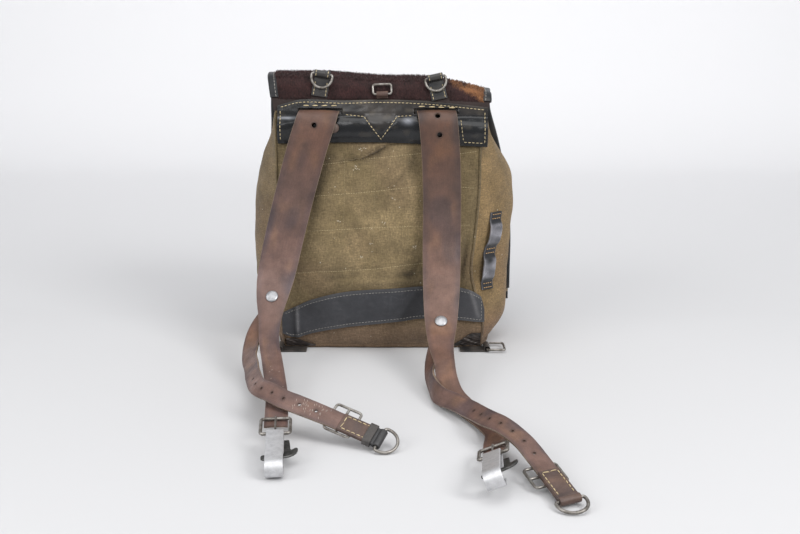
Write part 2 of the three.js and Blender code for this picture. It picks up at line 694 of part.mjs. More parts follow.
const bandColumns = [...spread(BAND_EDGES[0].x, 95, 19), ...spread(99, BAND_EDGES.at(-1).x, 9)];
const bandParts = spread(0, 1, 7);
const bandOuter = bandParts.map((part) => bandColumns.map((x) => bandPoint(x, part, LEATHER)));
const bandInner = bandParts.map((part) => bandColumns.map((x) => bandPoint(x, part, 0)));
add("lower_band", slab(bandOuter, bandInner), "blackLeather");

// Strip of two loops on each side
function sideLoop(side) {
  const bottom = SIDE_LOOP_LIFT[0].z;
  const top = SIDE_LOOP_LIFT.at(-1).z;
  const ends = side < 0 ? SIDE_LOOP_PLACE.left : SIDE_LOOP_PLACE.right;
  const levels = spread(bottom, top, 14);
  const across = spread(-0.5, 0.5, 4);
  const layer = (thickness) => levels.map((z) => {
    const place = lerp(ends.bottom, ends.top, (z - bottom) / (top - bottom));
    const level = gussetPoint(side, place + 0.01, z).sub(gussetPoint(side, place - 0.01, z));
    const perMillimetre = 0.02 / level.length();
    return across.map((part) => {
      const t = place + part * SIDE_LOOP_WIDTH * perMillimetre;
      const normal = normalAt((u, v) => gussetPoint(side, u, v), t, z, 0.01, 1, new Vector3(side, -1, 0));
      const lift = Math.max(columnAt(SIDE_LOOP_LIFT, "z", z, "lift"), 0);
      return gussetPoint(side, t, z).addScaledVector(normal, GAP + lift + thickness);
    });
  });
  return slab(layer(LEATHER), layer(0));
}

add("side_loop_left", sideLoop(-1), "blackLeather");
add("side_loop_right", sideLoop(1), "blackLeather");

// Straps
function strapAlong(rows) {
  const places = rows.map(({ x, y, z }) => new Vector3(x, y, z));
  const curve = new THREE.CatmullRomCurve3(places, false, "centripetal");
  curve.arcLengthDivisions = 600;
  const length = curve.getLength();
  const frameAt = (distance) => {
    const t = curve.getUtoTmapping(clamp(distance / length, 0, 1));
    const { width, tilt, turn } = rowAt(rows, t * (rows.length - 1));
    const [up, round] = [degToRad(tilt), degToRad(turn)];
    const facing = new Vector3(
      Math.cos(up) * Math.sin(round),
      -Math.cos(up) * Math.cos(round),
      Math.sin(up),
    );
    const along = curve.getTangent(t);
    const across = along.clone().cross(facing).normalize();
    const normal = across.clone().cross(along).normalize();
    return { origin: curve.getPoint(t), along, across, normal, width };
  };
  const distanceTo = (row) => {
    const steps = spread(0, length, 400);
    return steps.reduce((best, d) =>
      frameAt(d).origin.distanceTo(places[row]) < frameAt(best).origin.distanceTo(places[row]) ? d : best);
  };
  return { length, frameAt, distanceTo };
}

function strapSolid(strap, stations, punches) {
  const frames = spread(0, strap.length, stations).map(strap.frameAt);
  const layer = (height) => frames.map(({ origin, across, normal, width }) =>
    [-0.5, 0.5].map((part) =>
      origin.clone().addScaledVector(across, part * width).addScaledVector(normal, height)));
  const tools = punches.map(({ at, radius }) => {
    const tool = new THREE.CylinderGeometry(radius, radius, 6 * LEATHER, 8);
    tool.rotateX(Math.PI / 2);
    return placed(tool, frameMatrix(strap.frameAt(at)));
  });
  return cut(slab(layer(LEATHER / 2), layer(-LEATHER / 2)), tools);
}

// The first rows of a side strap lie flat under the shoulder strap, from above the rivet to below it
function rowsUnder(shoulder, rivetAt) {
  return UNDER_STEPS.map((step) => {
    const { origin, normal } = shoulder.frameAt(rivetAt + step);
    const spot = origin.addScaledVector(normal, -LEATHER - STRAP_CLEAR);
    const tilt = radToDeg(Math.asin(normal.z));
    const turn = radToDeg(Math.atan2(normal.x, -normal.y));
    return { x: spot.x, y: spot.y, z: spot.z, width: SIDE_STRAP_WIDTH, tilt, turn };
  });
}

function rivetSolid() {
  const head = LEATHER + STRAP_CLEAR / 2 + RIVET.clear;
  const outline = [
    [0, -head - 1.2], [RIVET.head - 1.5, -head - 1.2], [RIVET.head - 1.5, -head], [RIVET.shank, -head],
    [RIVET.shank, head], [RIVET.head, head],
    [RIVET.head - 1.2, head + 0.6 * RIVET.rise], [0, head + RIVET.rise],
  ];
  const turned = new THREE.LatheGeometry(outline.map(([x, y]) => new Vector2(x, y)), 10);
  const rivet = turned.rotateX(Math.PI / 2);
  return bufferOfMerged(rivet);
}

function bufferOfMerged(geometry) {
  const bare = new THREE.BufferGeometry();
  bare.setAttribute("position", geometry.getAttribute("position"));
  bare.setIndex(geometry.getIndex());
  const merged = mergeVertices(bare, 1e-4);
  const index = merged.getIndex();
  const kept = [];
  for (let i = 0; i < index.count; i += 3) {
    const face = [index.getX(i), index.getX(i + 1), index.getX(i + 2)];
    if (new Set(face).size === 3) {
      kept.push(...face);
    }
  }
  merged.setIndex(kept);
  return facingOut(merged);
}

// Hook: a strip folded over the frame's bar, its long leg curled round at the end, with a cross wing
function hookSolid() {
  const over = HOOK_FRAME.wire + BORE_CLEAR + HOOK.strip / 2;
  const path = new THREE.Path();
  path.moveTo(29, -6.5);
  path.lineTo(4, -over);
  path.lineTo(0, -over);
  path.absarc(0, 0, over, -Math.PI / 2, Math.PI / 2, true);
  path.lineTo(5, over);
  path.lineTo(HOOK.plate, over - 1);
  path.absarc(HOOK.plate, over - 1 - HOOK.curl, HOOK.curl, Math.PI / 2, -Math.PI / 2, true);
  path.lineTo(HOOK.plate - 13, over - 1 - 2 * HOOK.curl);
  const line = withoutRepeats([...path.getPoints(5), new Vector2(1e4, 0)]).slice(0, -1);
  const offset = (aside) => line.map((p, i) => {
    const along = line[Math.min(i + 1, line.length - 1)].clone().sub(line[Math.max(i - 1, 0)]).normalize();
    return [p.x - along.y * aside, p.y + along.x * aside];
  });
  const strip = shapeFrom([...offset(HOOK.strip / 2), ...offset(-HOOK.strip / 2).reverse()]);
  const wing = new THREE.Shape();
  const tip = 4;
  const reach = HOOK.wing / 2 - tip;
  wing.absarc(reach, 0, tip, -Math.PI / 2, Math.PI / 2, false);
  wing.absarc(-reach, 0, tip, Math.PI / 2, 1.5 * Math.PI, false);
  const plate = new THREE.ExtrudeGeometry(wing, { depth: 2, bevelEnabled: false, curveSegments: 4 });
  plate.translate(0, 27, -7.4);
  return join([bufferOfMerged(indexed(drawnAlongX(strip, HOOK.width))), bufferOfMerged(indexed(plate))]);
}

function indexed(geometry) {
  const bare = new THREE.BufferGeometry();
  bare.setAttribute("position", geometry.getAttribute("position"));
  return mergeVertices(bare, 1e-4);
}

// Frame that joins strap and hook: a rectangle of wire with a tongue laid over the strap's end
function hookFrameSolid() {
  const { width, length, wire } = HOOK_FRAME;
  const ring = wireLoop(rectangleOutline(width, -length, 0, 3), wire);
  const reach = length - HOOK_FRAME.tongueClear;
  const tongue = new THREE.CylinderGeometry(1, 1, reach, 6);
  tongue.translate(0, reach / 2 - length, wire + 0.4);
  return join([ring, tongue]);
}

function buckleSolid() {
  const { width, length, wire } = BUCKLE;
  const ring = wireLoop(rectangleOutline(width, -length / 2, length / 2, 3), wire);
  return join([ring, barAlongX(width, wire)]);
}

// A leaf of leather ending in a bored fold: thickness from z = 0, the fold's middle at y = reach
function boredLeaf(reach, thickness, knuckle, bore, width, middle) {
  const shape = new THREE.Shape();
  const lower = middle - knuckle;
  const meet = Math.asin(clamp((thickness - middle) / knuckle, -1, 1));
  shape.moveTo(0, 0);
  shape.lineTo(reach - 1.2 * knuckle, 0);
  shape.lineTo(reach, lower);
  shape.absarc(reach, middle, knuckle, -Math.PI / 2, Math.PI - meet, false);
  shape.lineTo(0, thickness);
  const hole = new THREE.Path();
  hole.absarc(reach, middle, bore, 0, 2 * Math.PI, true);
  shape.holes.push(hole);
  return drawnAlongX(shape, width, 5);
}

function chapeSolid() {
  const bore = END_RING.wire + BORE_CLEAR;
  return boredLeaf(CHAPE.length, CHAPE.thickness, CHAPE.knuckle, bore, CHAPE.width, CHAPE.thickness / 2);
}

function keeperSolid() {
  const wall = 1.6;
  const w = CHAPE.width / 2 + GAP;
  const h = CHAPE.thickness / 2 + GAP;
  const [x, y] = [w + wall, h + wall];
  const shape = shapeFrom([[-x, -y], [x, -y], [x, y], [-x, y]]);
  const hole = shapeFrom([[-w, -h], [-w, h], [w, h], [w, -h]]);
  shape.holes.push(hole);
  const geometry = new THREE.ExtrudeGeometry(shape, { depth: 8, bevelEnabled: false });
  return geometry.rotateX(Math.PI / 2).translate(0, 8, 0);
}

const hook = hookSolid();
const hookFrame = hookFrameSolid();
const buckle = buckleSolid();
const chape = chapeSolid();
const endRing = wireLoop(bowOutline(END_RING.width, END_RING.depth), END_RING.wire);
const HOOK_PITCH = { left: 1.5, right: 0 };

for (const side of ["left", "right"]) {
  const shoulder = strapAlong(SHOULDER_STRAP[side]);
  const rivetAt = shoulder.distanceTo(RIVET_ROW);
  const rivetHole = RIVET.shank + 2 * BORE_CLEAR;
  const shoulderPunches = SHOULDER_PUNCHES[side].map((at) => ({ at, radius: PUNCH_RADIUS }));
  shoulderPunches.push({ at: rivetAt, radius: rivetHole });
  add(`shoulder_strap_${side}`, strapSolid(shoulder, 36, shoulderPunches), "strapLeather");

  const narrow = strapAlong([...rowsUnder(shoulder, rivetAt), ...SIDE_STRAP[side]]);
  const last = narrow.length - SIDE_PUNCH_END;
  const narrowPunches = Array.from({ length: SIDE_PUNCH_COUNT }, (_, i) => ({
    at: last - i * SIDE_PUNCH_SPACING,
    radius: PUNCH_RADIUS,
  }));
  narrowPunches.push({ at: -UNDER_STEPS[0], radius: rivetHole });
  add(`side_strap_${side}`, strapSolid(narrow, 28, narrowPunches), "strapLeather");

  const rivetFrame = frameMatrix(shoulder.frameAt(rivetAt));
  const rivetSeat = shifted(rivetFrame, 0, 0, -(LEATHER + STRAP_CLEAR) / 2);
  add(`strap_rivet_${side}`, placed(rivetSolid(), rivetSeat), "steel");

  const strapEnd = frameMatrix(shoulder.frameAt(shoulder.length));
  const lift = LEATHER / 2 + GAP + HOOK_FRAME.wire;
  const frameSeat = shifted(strapEnd, 0, HOOK_FRAME.length * 0.7, lift);
  add(`hook_frame_${side}`, placed(hookFrame, frameSeat), "steel");
  add(`belt_hook_${side}`, placed(hook, pitched(frameSeat, HOOK_PITCH[side])), "aluminium");

  const narrowEnd = frameMatrix(narrow.frameAt(narrow.length));
  const chapeSeat = shifted(narrowEnd, 0, GAP, -CHAPE.thickness / 2);
  add(`ring_chape_${side}`, placed(chape, chapeSeat), "strapLeather");
  const under = -CHAPE.thickness / 2 - GAP - BUCKLE.wire;
  add(`end_buckle_${side}`, placed(buckle, shifted(narrowEnd, BUCKLE_ASIDE[side], 0, under)), "steel");
  if (side === "left") {
    add("chape_keeper_left", placed(keeperSolid(), shifted(narrowEnd, 0, KEEPER_AT, 0)), "strapLeather");
  }
  add(`end_ring_${side}`, placed(endRing, shifted(narrowEnd, 0, GAP + CHAPE.length, 0)), "steel");
}

// Tabs and rings on top: a frame on the rising back of the flap, X along the rim, Y up the flap
function flapSeat(x, turn) {
  const row = FLAP[1];
  const s = ((x - row.left) / (row.right - row.left)) * 2 - 1;
  const low = flapPoint(0.3, s);
  const up = flapPoint(1.8, s).sub(low).normalize();
  const sideways = new Vector3(1, 0, 0).addScaledVector(up, -up.x).normalize();
  const normal = sideways.clone().cross(up).normalize();
  const top = columnAt(YOKE_EDGES, "x", x, "top");
  const rise = (top + GAP - low.z) / up.z;
  const origin = low.addScaledVector(up, rise);
  const seat = new THREE.Matrix4().makeBasis(sideways, up, normal).setPosition(origin);
  return seat.multiply(new THREE.Matrix4().makeRotationZ(degToRad(turn)));
}

function addTopTab(side, place) {
  const { width, height, thickness, knuckle } = TOP_TAB;
  const bore = TOP_RING.wire + BORE_CLEAR;
  const middle = thickness + TOP_RING.wire + 2 * GAP;
  const seat = shifted(flapSeat(place.x, place.turn), 0, 2.6, 1);
  const leaf = boredLeaf(height, thickness, knuckle, bore, width, middle);
  add(`top_tab_${side}`, placed(leaf, seat), "blackLeather");
  const ring = wireLoop(bowOutline(TOP_RING.width, TOP_RING.depth), TOP_RING.wire);
  ring.rotateX(Math.PI);
  add(`top_ring_${side}`, placed(ring, shifted(seat, 0, height, middle)), "steel");
}

addTopTab("left", TOP_TAB_LEFT);
addTopTab("right", TOP_TAB_RIGHT);

const centreSeat = shifted(flapSeat(CENTRE_TAB.x, 0), 0, 0.4, 0.8);
const centreMiddle = CENTRE_TAB.knuckle + 0.4;
const centreBore = CENTRE_LOOP.wire + BORE_CLEAR;
const centreLeaf = boredLeaf(
  CENTRE_TAB.height + CENTRE_TAB.knuckle,
  CENTRE_TAB.thickness,
  CENTRE_TAB.knuckle,
  centreBore,
  CENTRE_TAB.width,
  centreMiddle,
);
add("centre_tab", placed(centreLeaf, centreSeat), "strapLeather");
const centreOutline = rectangleOutline(CENTRE_LOOP.width, 0, CENTRE_LOOP.depth, 2.6);
const centreRing = wireLoop(centreOutline, CENTRE_LOOP.wire);
const centreBar = shifted(centreSeat, 0, CENTRE_TAB.height + CENTRE_TAB.knuckle, centreMiddle);
add("centre_loop", placed(centreRing, centreBar), "steel");

// Tabs at the lower corners, sewn along the base, each with a loop lying outward
for (const [side, way] of [["left", -1], ["right", 1]]) {
  const { inner, outer, near, far, thickness, knuckle } = CORNER_TAB;
  const width = far - near;
  const bore = CORNER_LOOP.wire + BORE_CLEAR;
  const leaf = boredLeaf(outer - inner, thickness, knuckle, bore, width, knuckle + 0.2);
  const seat = new THREE.Matrix4().makeBasis(
    new Vector3(0, way < 0 ? 1 : -1, 0),
    new Vector3(way, 0, 0),
    new Vector3(0, 0, 1),
  ).setPosition(way * inner, (near + far) / 2, GAP);
  add(`corner_tab_${side}`, placed(leaf, seat), "blackLeather");
  const loop = wireLoop(rectangleOutline(CORNER_LOOP.width, 0, CORNER_LOOP.depth, 3), CORNER_LOOP.wire);
  add(`corner_loop_${side}`, placed(loop, shifted(seat, 0, outer - inner, knuckle + 0.2)), "steel");
}

export default pack;
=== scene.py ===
# %% [markdown]
# # A military rucksack of canvas, hide and leather
# An old infantry pack stands on its base with the wearer's side to us and its straps laid forward.
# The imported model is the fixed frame. Everything soft is drawn again over it at a finer scale, from
# the same tables of sizes in millimetres, so each piece lies within a millimetre or two of its solid.

# %% The frame
import bpy
import numpy as np
from collections import namedtuple
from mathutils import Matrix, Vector


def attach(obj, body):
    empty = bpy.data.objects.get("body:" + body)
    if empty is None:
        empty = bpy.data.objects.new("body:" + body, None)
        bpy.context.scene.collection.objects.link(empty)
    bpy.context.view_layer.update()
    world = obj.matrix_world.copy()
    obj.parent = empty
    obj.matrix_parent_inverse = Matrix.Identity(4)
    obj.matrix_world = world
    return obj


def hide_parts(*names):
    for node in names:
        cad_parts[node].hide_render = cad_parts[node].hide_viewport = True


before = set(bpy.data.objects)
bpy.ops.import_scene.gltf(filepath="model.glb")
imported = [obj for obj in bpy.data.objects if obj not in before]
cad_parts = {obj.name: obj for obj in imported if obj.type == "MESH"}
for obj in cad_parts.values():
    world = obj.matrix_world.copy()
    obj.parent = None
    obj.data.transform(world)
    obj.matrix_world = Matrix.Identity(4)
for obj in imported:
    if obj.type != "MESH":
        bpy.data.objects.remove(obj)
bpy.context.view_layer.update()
MM = 0.001

# %% [markdown]
# ## Camera, floor and light
# A camera is a place, a direction and a lens. Here the lens is 45 mm on a 36 mm sensor, a little above
# the pack and looking down by 13.6 degrees. A pale sweep of floor and wall with wide, soft lamps on
# both sides keeps the shadows faint, as in a studio.

# %% Camera, sweep and lamps
scene = bpy.context.scene
scene.view_settings.view_transform = "Standard"
lens = bpy.data.cameras.new("camera")
lens.lens, lens.sensor_width = 45.0, 36.0
camera = bpy.data.objects.new("camera", lens)
camera.location = (0.020, -1.203, 0.380)
DROP_PER_METRE = 0.242
camera.rotation_euler = (np.pi / 2 - np.arctan(DROP_PER_METRE), 0, 0)
scene.collection.objects.link(camera)
scene.camera = camera


def lamp(name, place, aim, size, power):
    """A square area light at a place, turned so that its face looks at the aim."""
    light = bpy.data.lights.new(name, "AREA")
    light.shape, light.size, light.energy = "SQUARE", size, power
    holder = bpy.data.objects.new(name, light)
    holder.location = place
    holder.rotation_euler = (Vector(aim) - Vector(place)).to_track_quat("-Z", "Y").to_euler()
    scene.collection.objects.link(holder)


lamp("lamp_right", place=(1.5, -1.6, 1.5), aim=(0, 0, 0.1), size=1.0, power=38)
lamp("lamp_left", place=(-1.6, -1.4, 1.3), aim=(0, 0, 0.1), size=1.2, power=21)
lamp("lamp_above", place=(0.1, -0.5, 2.1), aim=(0, 0, 0), size=1.6, power=17)
lamp("lamp_front", place=(-0.4, -1.8, 1.75), aim=(0, 0, 0.2), size=0.7, power=6.5)
sky = bpy.data.worlds.new("soft_sky")
scene.world = sky
sky.use_nodes = True
sky.node_tree.nodes["Background"].inputs["Color"].default_value = (0.9, 0.92, 0.95, 1)
sky.node_tree.nodes["Background"].inputs["Strength"].default_value = 0.46
print("camera and four lamps")

# %% [markdown]
# ## Small tools
# Most of the pack is sheet goods, so a few tools make nearly all of it: a table of sizes followed by
# a smooth curve, a grid of points joined by quads, a wall between two grids, and a section carried
# along a path. Whole arrays are worked out at once, and no vertex is placed by hand.


# %% Tables and ripples
def table(names, *rows):
    """A short table with named columns, each column an array."""
    return dict(zip(names.split(), np.array(rows, float).T))


def follow(rows, key, name, at):
    """One column along another: between two rows a cubic that leaves and arrives with the slope of
    the rows on either side."""
    k, v = rows[key], rows[name]
    at = np.asarray(at, float)
    i = np.clip(np.searchsorted(k, at) - 1, 0, len(k) - 2)
    before, after = np.maximum(i - 1, 0), np.minimum(i + 2, len(k) - 1)
    span = k[i + 1] - k[i]
    t = np.clip((at - k[i]) / span, 0, 1)
    slope_in = (v[i + 1] - v[before]) / (k[i + 1] - k[before]) * span
    slope_out = (v[after] - v[i]) / (k[after] - k[i]) * span
    stay, arrive = 2 * t**3 - 3 * t**2 + 1, 3 * t**2 - 2 * t**3
    return stay * v[i] + (t**3 - 2 * t**2 + t) * slope_in + arrive * v[i + 1] + (t**3 - t**2) * slope_out


def ripple(x, y, reach, seed, waves=11):
    """Soft unevenness from about -1 to 1: a sum of sine waves in many directions, of wavelengths
    near the given reach."""
    pick = np.random.default_rng(seed)
    angle, phase = pick.uniform(0, 2 * np.pi, (2, waves))
    turns = 2 * np.pi / (reach * pick.uniform(0.6, 1.7, waves))
    at = np.multiply.outer(x, turns * np.cos(angle)) + np.multiply.outer(y, turns * np.sin(angle))
    return np.sin(at + phase).sum(-1) / (1.5 * np.sqrt(waves))


def step(low, high, at):
    """0 below low, 1 above high, and a smooth S between them."""
    t = np.clip((at - low) / (high - low), 0, 1)
    return t * t * (3 - 2 * t)


def bell(at, middle, width):
    """1 at the middle and falling off smoothly on both sides: e to the power of minus the square of
    the distance, counted in widths."""
    return np.exp(-(((at - middle) / width) ** 2))


def unit(vectors):
    """Each vector divided by its own length."""
    return vectors / np.maximum(np.linalg.norm(vectors, axis=-1, keepdims=True), 1e-9)


def blend_of(low, high, share):
    """A mix of two colours, or of two arrays of them, by a share from 0 to 1."""
    share = np.asarray(share)[..., None]
    return np.asarray(low) * (1 - share) + np.asarray(high) * share


sample = ripple(np.arange(400.0), np.zeros(400), 40, 1)
print(f"a ripple runs from {sample.min():.2f} to {sample.max():.2f}")


# %% Grids, walls and swept sections
def grid_quads(rows, columns, wrap_rows=False, wrap_columns=False):
    """The quads of a grid whose points are numbered row by row."""
    r = np.arange(rows if wrap_rows else rows - 1)[:, None]
    c = np.arange(columns if wrap_columns else columns - 1)[None, :]
    r2, c2 = (r + 1) % rows, (c + 1) % columns
    corners = [r * columns + c, r * columns + c2, r2 * columns + c2, r2 * columns + c]
    return np.stack(corners, -1).reshape(-1, 4)


def wall(outer, inner, keep=None):
    """A closed wall between two grids of points: the quads of each, and a strip along every edge
    that only one quad uses, which closes the rim and the holes alike."""
    rows, columns = outer.shape[:2]
    quads = grid_quads(rows, columns)
    if keep is not None:
        quads = quads[keep.ravel()]
    count = rows * columns
    edges = np.concatenate([quads[:, [i, (i + 1) % 4]] for i in range(4)])
    _, where, times = np.unique(np.sort(edges, 1) @ [count, 1], return_inverse=True, return_counts=True)
    a, b = edges[times[where.ravel()] == 1].T
    strip = np.stack([b, a, a + count, b + count], 1)
    points = np.concatenate([outer.reshape(-1, 3), inner.reshape(-1, 3)])
    return points, [np.concatenate([quads, quads[:, ::-1] + count, strip])]


def carried(section, origin, a, b, ring=False):
    """A closed section carried along a path: each point is origin + a * x + b * y. A ring joins its
    last station to its first, and any other path is closed by its two end faces."""
    section = np.broadcast_to(section, (len(origin),) + np.shape(section)[-2:])
    points = origin[:, None] + a[:, None] * section[..., :1] + b[:, None] * section[..., 1:]
    stations, sides = section.shape[:2]
    faces = [grid_quads(stations, sides, wrap_rows=ring, wrap_columns=True)]
    if not ring:
        faces.append(np.arange(sides)[None, ::-1])
        faces.append((np.arange(sides) + (stations - 1) * sides)[None])
    return points.reshape(-1, 3), faces


def rounded_bar(width, height, corner, steps=4):
    """A rectangle section with quarter-round corners, as points in order."""
    angle = np.concatenate([np.linspace(q, q + np.pi / 2, steps) for q in np.arange(4) * np.pi / 2])
    sx = np.repeat([1, -1, -1, 1], steps) * (width / 2 - corner)
    sy = np.repeat([1, 1, -1, -1], steps) * (height / 2 - corner)
    return np.stack([sx + corner * np.cos(angle), sy + corner * np.sin(angle)], -1)


def joined(parts):
    """Several (points, faces) shapes as one, each with its numbers moved past the ones before."""
    points, faces, start = [], [], 0
    for shape_points, shape_faces in parts:
        points.append(shape_points)
        faces += [f + start for f in shape_faces]
        start += len(shape_points)
    return np.concatenate(points), faces


def volume_sign(points, faces):
    """The sign of the volume inside: each face is a fan of corners, and each corner triangle with the
    origin is a small tetrahedron."""
    total = 0.0
    for f in faces:
        for k in range(1, f.shape[1] - 1):
            p, q, r = points[f[:, 0]], points[f[:, k]], points[f[:, k + 1]]
            total += np.einsum("ij,ij->", p, np.cross(q, r))
    return np.sign(total)


print("a grid of 3 by 4 points has", len(grid_quads(3, 4)), "quads")


# %% Pieces
def make_piece(name, shape, finish, slot, body="pack", stands_for=None, bevel=0, closed=True, **values):
    """A mesh object from (points in millimetres, face arrays). Values are arrays with a row for each
    point, kept as attributes for the finish: one column a number, three a vector, four a colour."""
    points, faces = shape
    if closed and volume_sign(points, faces) < 0:
        faces = [f[:, ::-1] for f in faces]
    used, loops = np.unique(np.concatenate([f.ravel() for f in faces]), return_inverse=True)
    sizes = np.concatenate([np.full(len(f), f.shape[1]) for f in faces])
    mesh = bpy.data.meshes.new(name)
    mesh.vertices.add(len(used))
    mesh.vertices.foreach_set("co", (points[used] * MM).astype(np.float32).ravel())
    mesh.loops.add(len(loops))
    mesh.polygons.add(len(sizes))
    mesh.polygons.foreach_set("loop_start", (np.cumsum(sizes) - sizes).astype(np.int32))
    mesh.loops.foreach_set("vertex_index", loops.ravel().astype(np.int32))
    mesh.polygons.foreach_set("use_smooth", np.ones(len(sizes), bool))
    mesh.update(calc_edges=True)
    kinds = {1: ("FLOAT", "value"), 3: ("FLOAT_VECTOR", "vector"), 4: ("FLOAT_COLOR", "color")}
    for key, value in values.items():
        value = np.asarray(value, np.float32).reshape(len(points), -1)[used]
        kind, field = kinds[value.shape[1]]
        mesh.attributes.new(key, kind, "POINT").data.foreach_set(field, value.ravel())
    mesh.set_sharp_from_angle(angle=np.radians(40))
    mesh.materials.append(finish)
    thing = bpy.data.objects.new(name, mesh)
    scene.collection.objects.link(thing)
    if bevel:
        edge = thing.modifiers.new("edge", "BEVEL")
        edge.width, edge.segments = bevel * MM, 2
        edge.limit_method, edge.angle_limit = "ANGLE", np.radians(50)
    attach(thing, body)
    if stands_for:
        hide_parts(stands_for)
    print(f"{name}: {len(used)} points, {int((sizes - 2).sum())} triangles")
    return thing


# %% Colours and normals on a piece
def painted(colour, count):
    """One colour for every point, with full alpha."""
    colour = np.broadcast_to(colour, (count, 3))
    return np.concatenate([colour, np.ones((count, 1))], 1)


def both_faces(colour):
    """A grid of colours, once for each face of a wall."""
    flat = colour.reshape(-1, 3)
    return np.tile(painted(flat, len(flat)), (2, 1))


def on_surface(shape, u, v, out, du=0.5, dv=0.5):
    """Points of shape(u, v) and unit normals there, from the cross product of two small steps,
    turned to look out."""
    along_u, along_v = shape(u + du, v) - shape(u - du, v), shape(u, v + dv) - shape(u, v - dv)
    normal = unit(np.cross(along_u, along_v))
    flip = np.where((normal * out).sum(-1, keepdims=True) < 0, -1, 1)
    return shape(u, v), normal * flip


# %% [markdown]
# ## Finishes
# Old leather is not one colour: it fades where it is rubbed and darkens where hands and rain reach
# it. The broad changes, with a few painted highlights and painted shade, are worked out for each
# piece and kept on its points as a colour named tone.
# The material then adds what is too small for the mesh: grain, threads, specks, and changes of gloss.


# %% Node helpers
def new_finish(name):
    """A material with its shader, a function that adds a node with some of its inputs set, and one that
    joins two sockets."""
    finish = bpy.data.materials.new(name)
    finish.use_nodes = True
    tree = finish.node_tree
    shader = tree.nodes["Principled BSDF"]

    def add(kind, _settings=None, **inputs):
        """A node of one kind; each input is named, or i and its number, and is a value or a link."""
        node = tree.nodes.new("ShaderNode" + kind)
        for key, value in (_settings or {}).items():
            setattr(node, key, value)
        for key, value in inputs.items():
            socket = node.inputs[int(key[1:]) if key[0] == "i" and key[1:].isdigit() else key]
            if isinstance(value, bpy.types.NodeSocket):
                tree.links.new(value, socket)
            else:
                socket.default_value = value
        return node

    def join(output, socket):
        """A link from an output to a socket."""
        tree.links.new(output, socket)

    return finish, shader, add, join


def ramp(add, value, low, high, dark, light):
    """A number mapped from low..high to dark..light."""
    ends = {"From Min": low, "From Max": high, "To Min": dark, "To Max": light}
    return add("MapRange", Value=value, **ends).outputs[0]


def noise(add, where, scale, detail, rough=0.5):
    """Cloudy noise from 0 to 1: scale sets how often it changes, detail and rough its finer part."""
    return add("TexNoise", Vector=where, Scale=scale, Detail=detail, Roughness=rough).outputs[0]


def kept(add, name, output="Color"):
    """What a piece keeps on its points under a name."""
    return add("Attribute", {"attribute_name": name}).outputs[output]


def maths(add, operation, *values):
    """One operation on one number or two."""
    inputs = {f"i{k}": value for k, value in enumerate(values)}
    return add("Math", {"operation": operation}, **inputs).outputs[0]


def mixed(add, share, low, high):
    """Two colours mixed by a share from 0 to 1."""
    return add("Mix", {"data_type": "RGBA"}, i0=share, i6=low, i7=high).outputs[2]


def times(add, colour, value):
    """A colour multiplied by a grey value."""
    grey = add("CombineColor", Red=value, Green=value, Blue=value).outputs[0]
    kind = {"data_type": "RGBA", "blend_type": "MULTIPLY"}
    return add("Mix", kind, i0=1.0, i6=colour, i7=grey).outputs[2]


# %% Leather
def leather_finish(
    name, grain, rough, spread, coat=0.0, depth=0.25, patches=0.22, cracks=0.0, scratches=0.0,
    shine=0.5, creased=0.4,
):
    """Leather: the tone of each place times cloudy patches and fine specks, pebbled grain and creases
    as bump, and gloss that changes with the patches. Scratches follow the length of the piece, by its
    own lie."""
    finish, shader, add, join = new_finish(name)
    where = add("TexCoord").outputs["Object"]
    cells = {"feature": "DISTANCE_TO_EDGE"}
    cloud = noise(add, where, 45.0, 6.0, 0.62)
    speck = noise(add, where, 900.0, 3.0, 0.7)
    colour = times(add, kept(add, "tone"), ramp(add, cloud, 0.3, 0.7, 1 - patches, 1 + patches))
    colour = times(add, colour, ramp(add, speck, 0.3, 0.72, 0.86, 1.12))
    pebble = add("TexVoronoi", cells, Vector=where, Scale=grain).outputs["Distance"]
    pebble = ramp(add, pebble, 0.0, 0.18, 0.0, 1.0)
    crease = noise(add, where, 150.0, 5.0, 0.6)
    if cracks:
        line = add("TexVoronoi", cells, Vector=where, Scale=95.0).outputs["Distance"]
        line = ramp(add, line, 0.0, 0.035, 1 + cracks, 1.0)
        fade = ramp(add, cloud, 0.5, 0.62, 0.0, 1.0)
        line = add("Mix", {"data_type": "FLOAT"}, i0=fade, i2=1.0, i3=line).outputs[0]
        colour = times(add, colour, line)
    if scratches:
        lie = kept(add, "lie", "Vector")
        drawn = add("Mapping", Vector=lie, Scale=(0.75, 0.05, 1.0)).outputs[0]
        streak = noise(add, drawn, 1.0, 4.0, 0.7)
        colour = times(add, colour, ramp(add, streak, 0.3, 0.7, 1 - scratches, 1 + scratches))
        fleck = noise(add, lie, 0.55, 4.0, 0.75)
        colour = times(add, colour, ramp(add, fleck, 0.56, 0.68, 1.0, 1 - scratches))
    bump = add("Bump", Strength=depth, Distance=0.0003, Height=pebble)
    bump2 = add("Bump", Strength=creased, Distance=0.0006, Height=crease, Normal=bump.outputs[0])
    join(colour, shader.inputs["Base Color"])
    join(ramp(add, cloud, 0.3, 0.7, rough + spread, rough - spread), shader.inputs["Roughness"])
    join(bump2.outputs[0], shader.inputs["Normal"])
    shader.inputs["Specular IOR Level"].default_value = shine
    shader.inputs["Coat Weight"].default_value = coat
    shader.inputs["Coat Roughness"].default_value = 0.22
    return finish


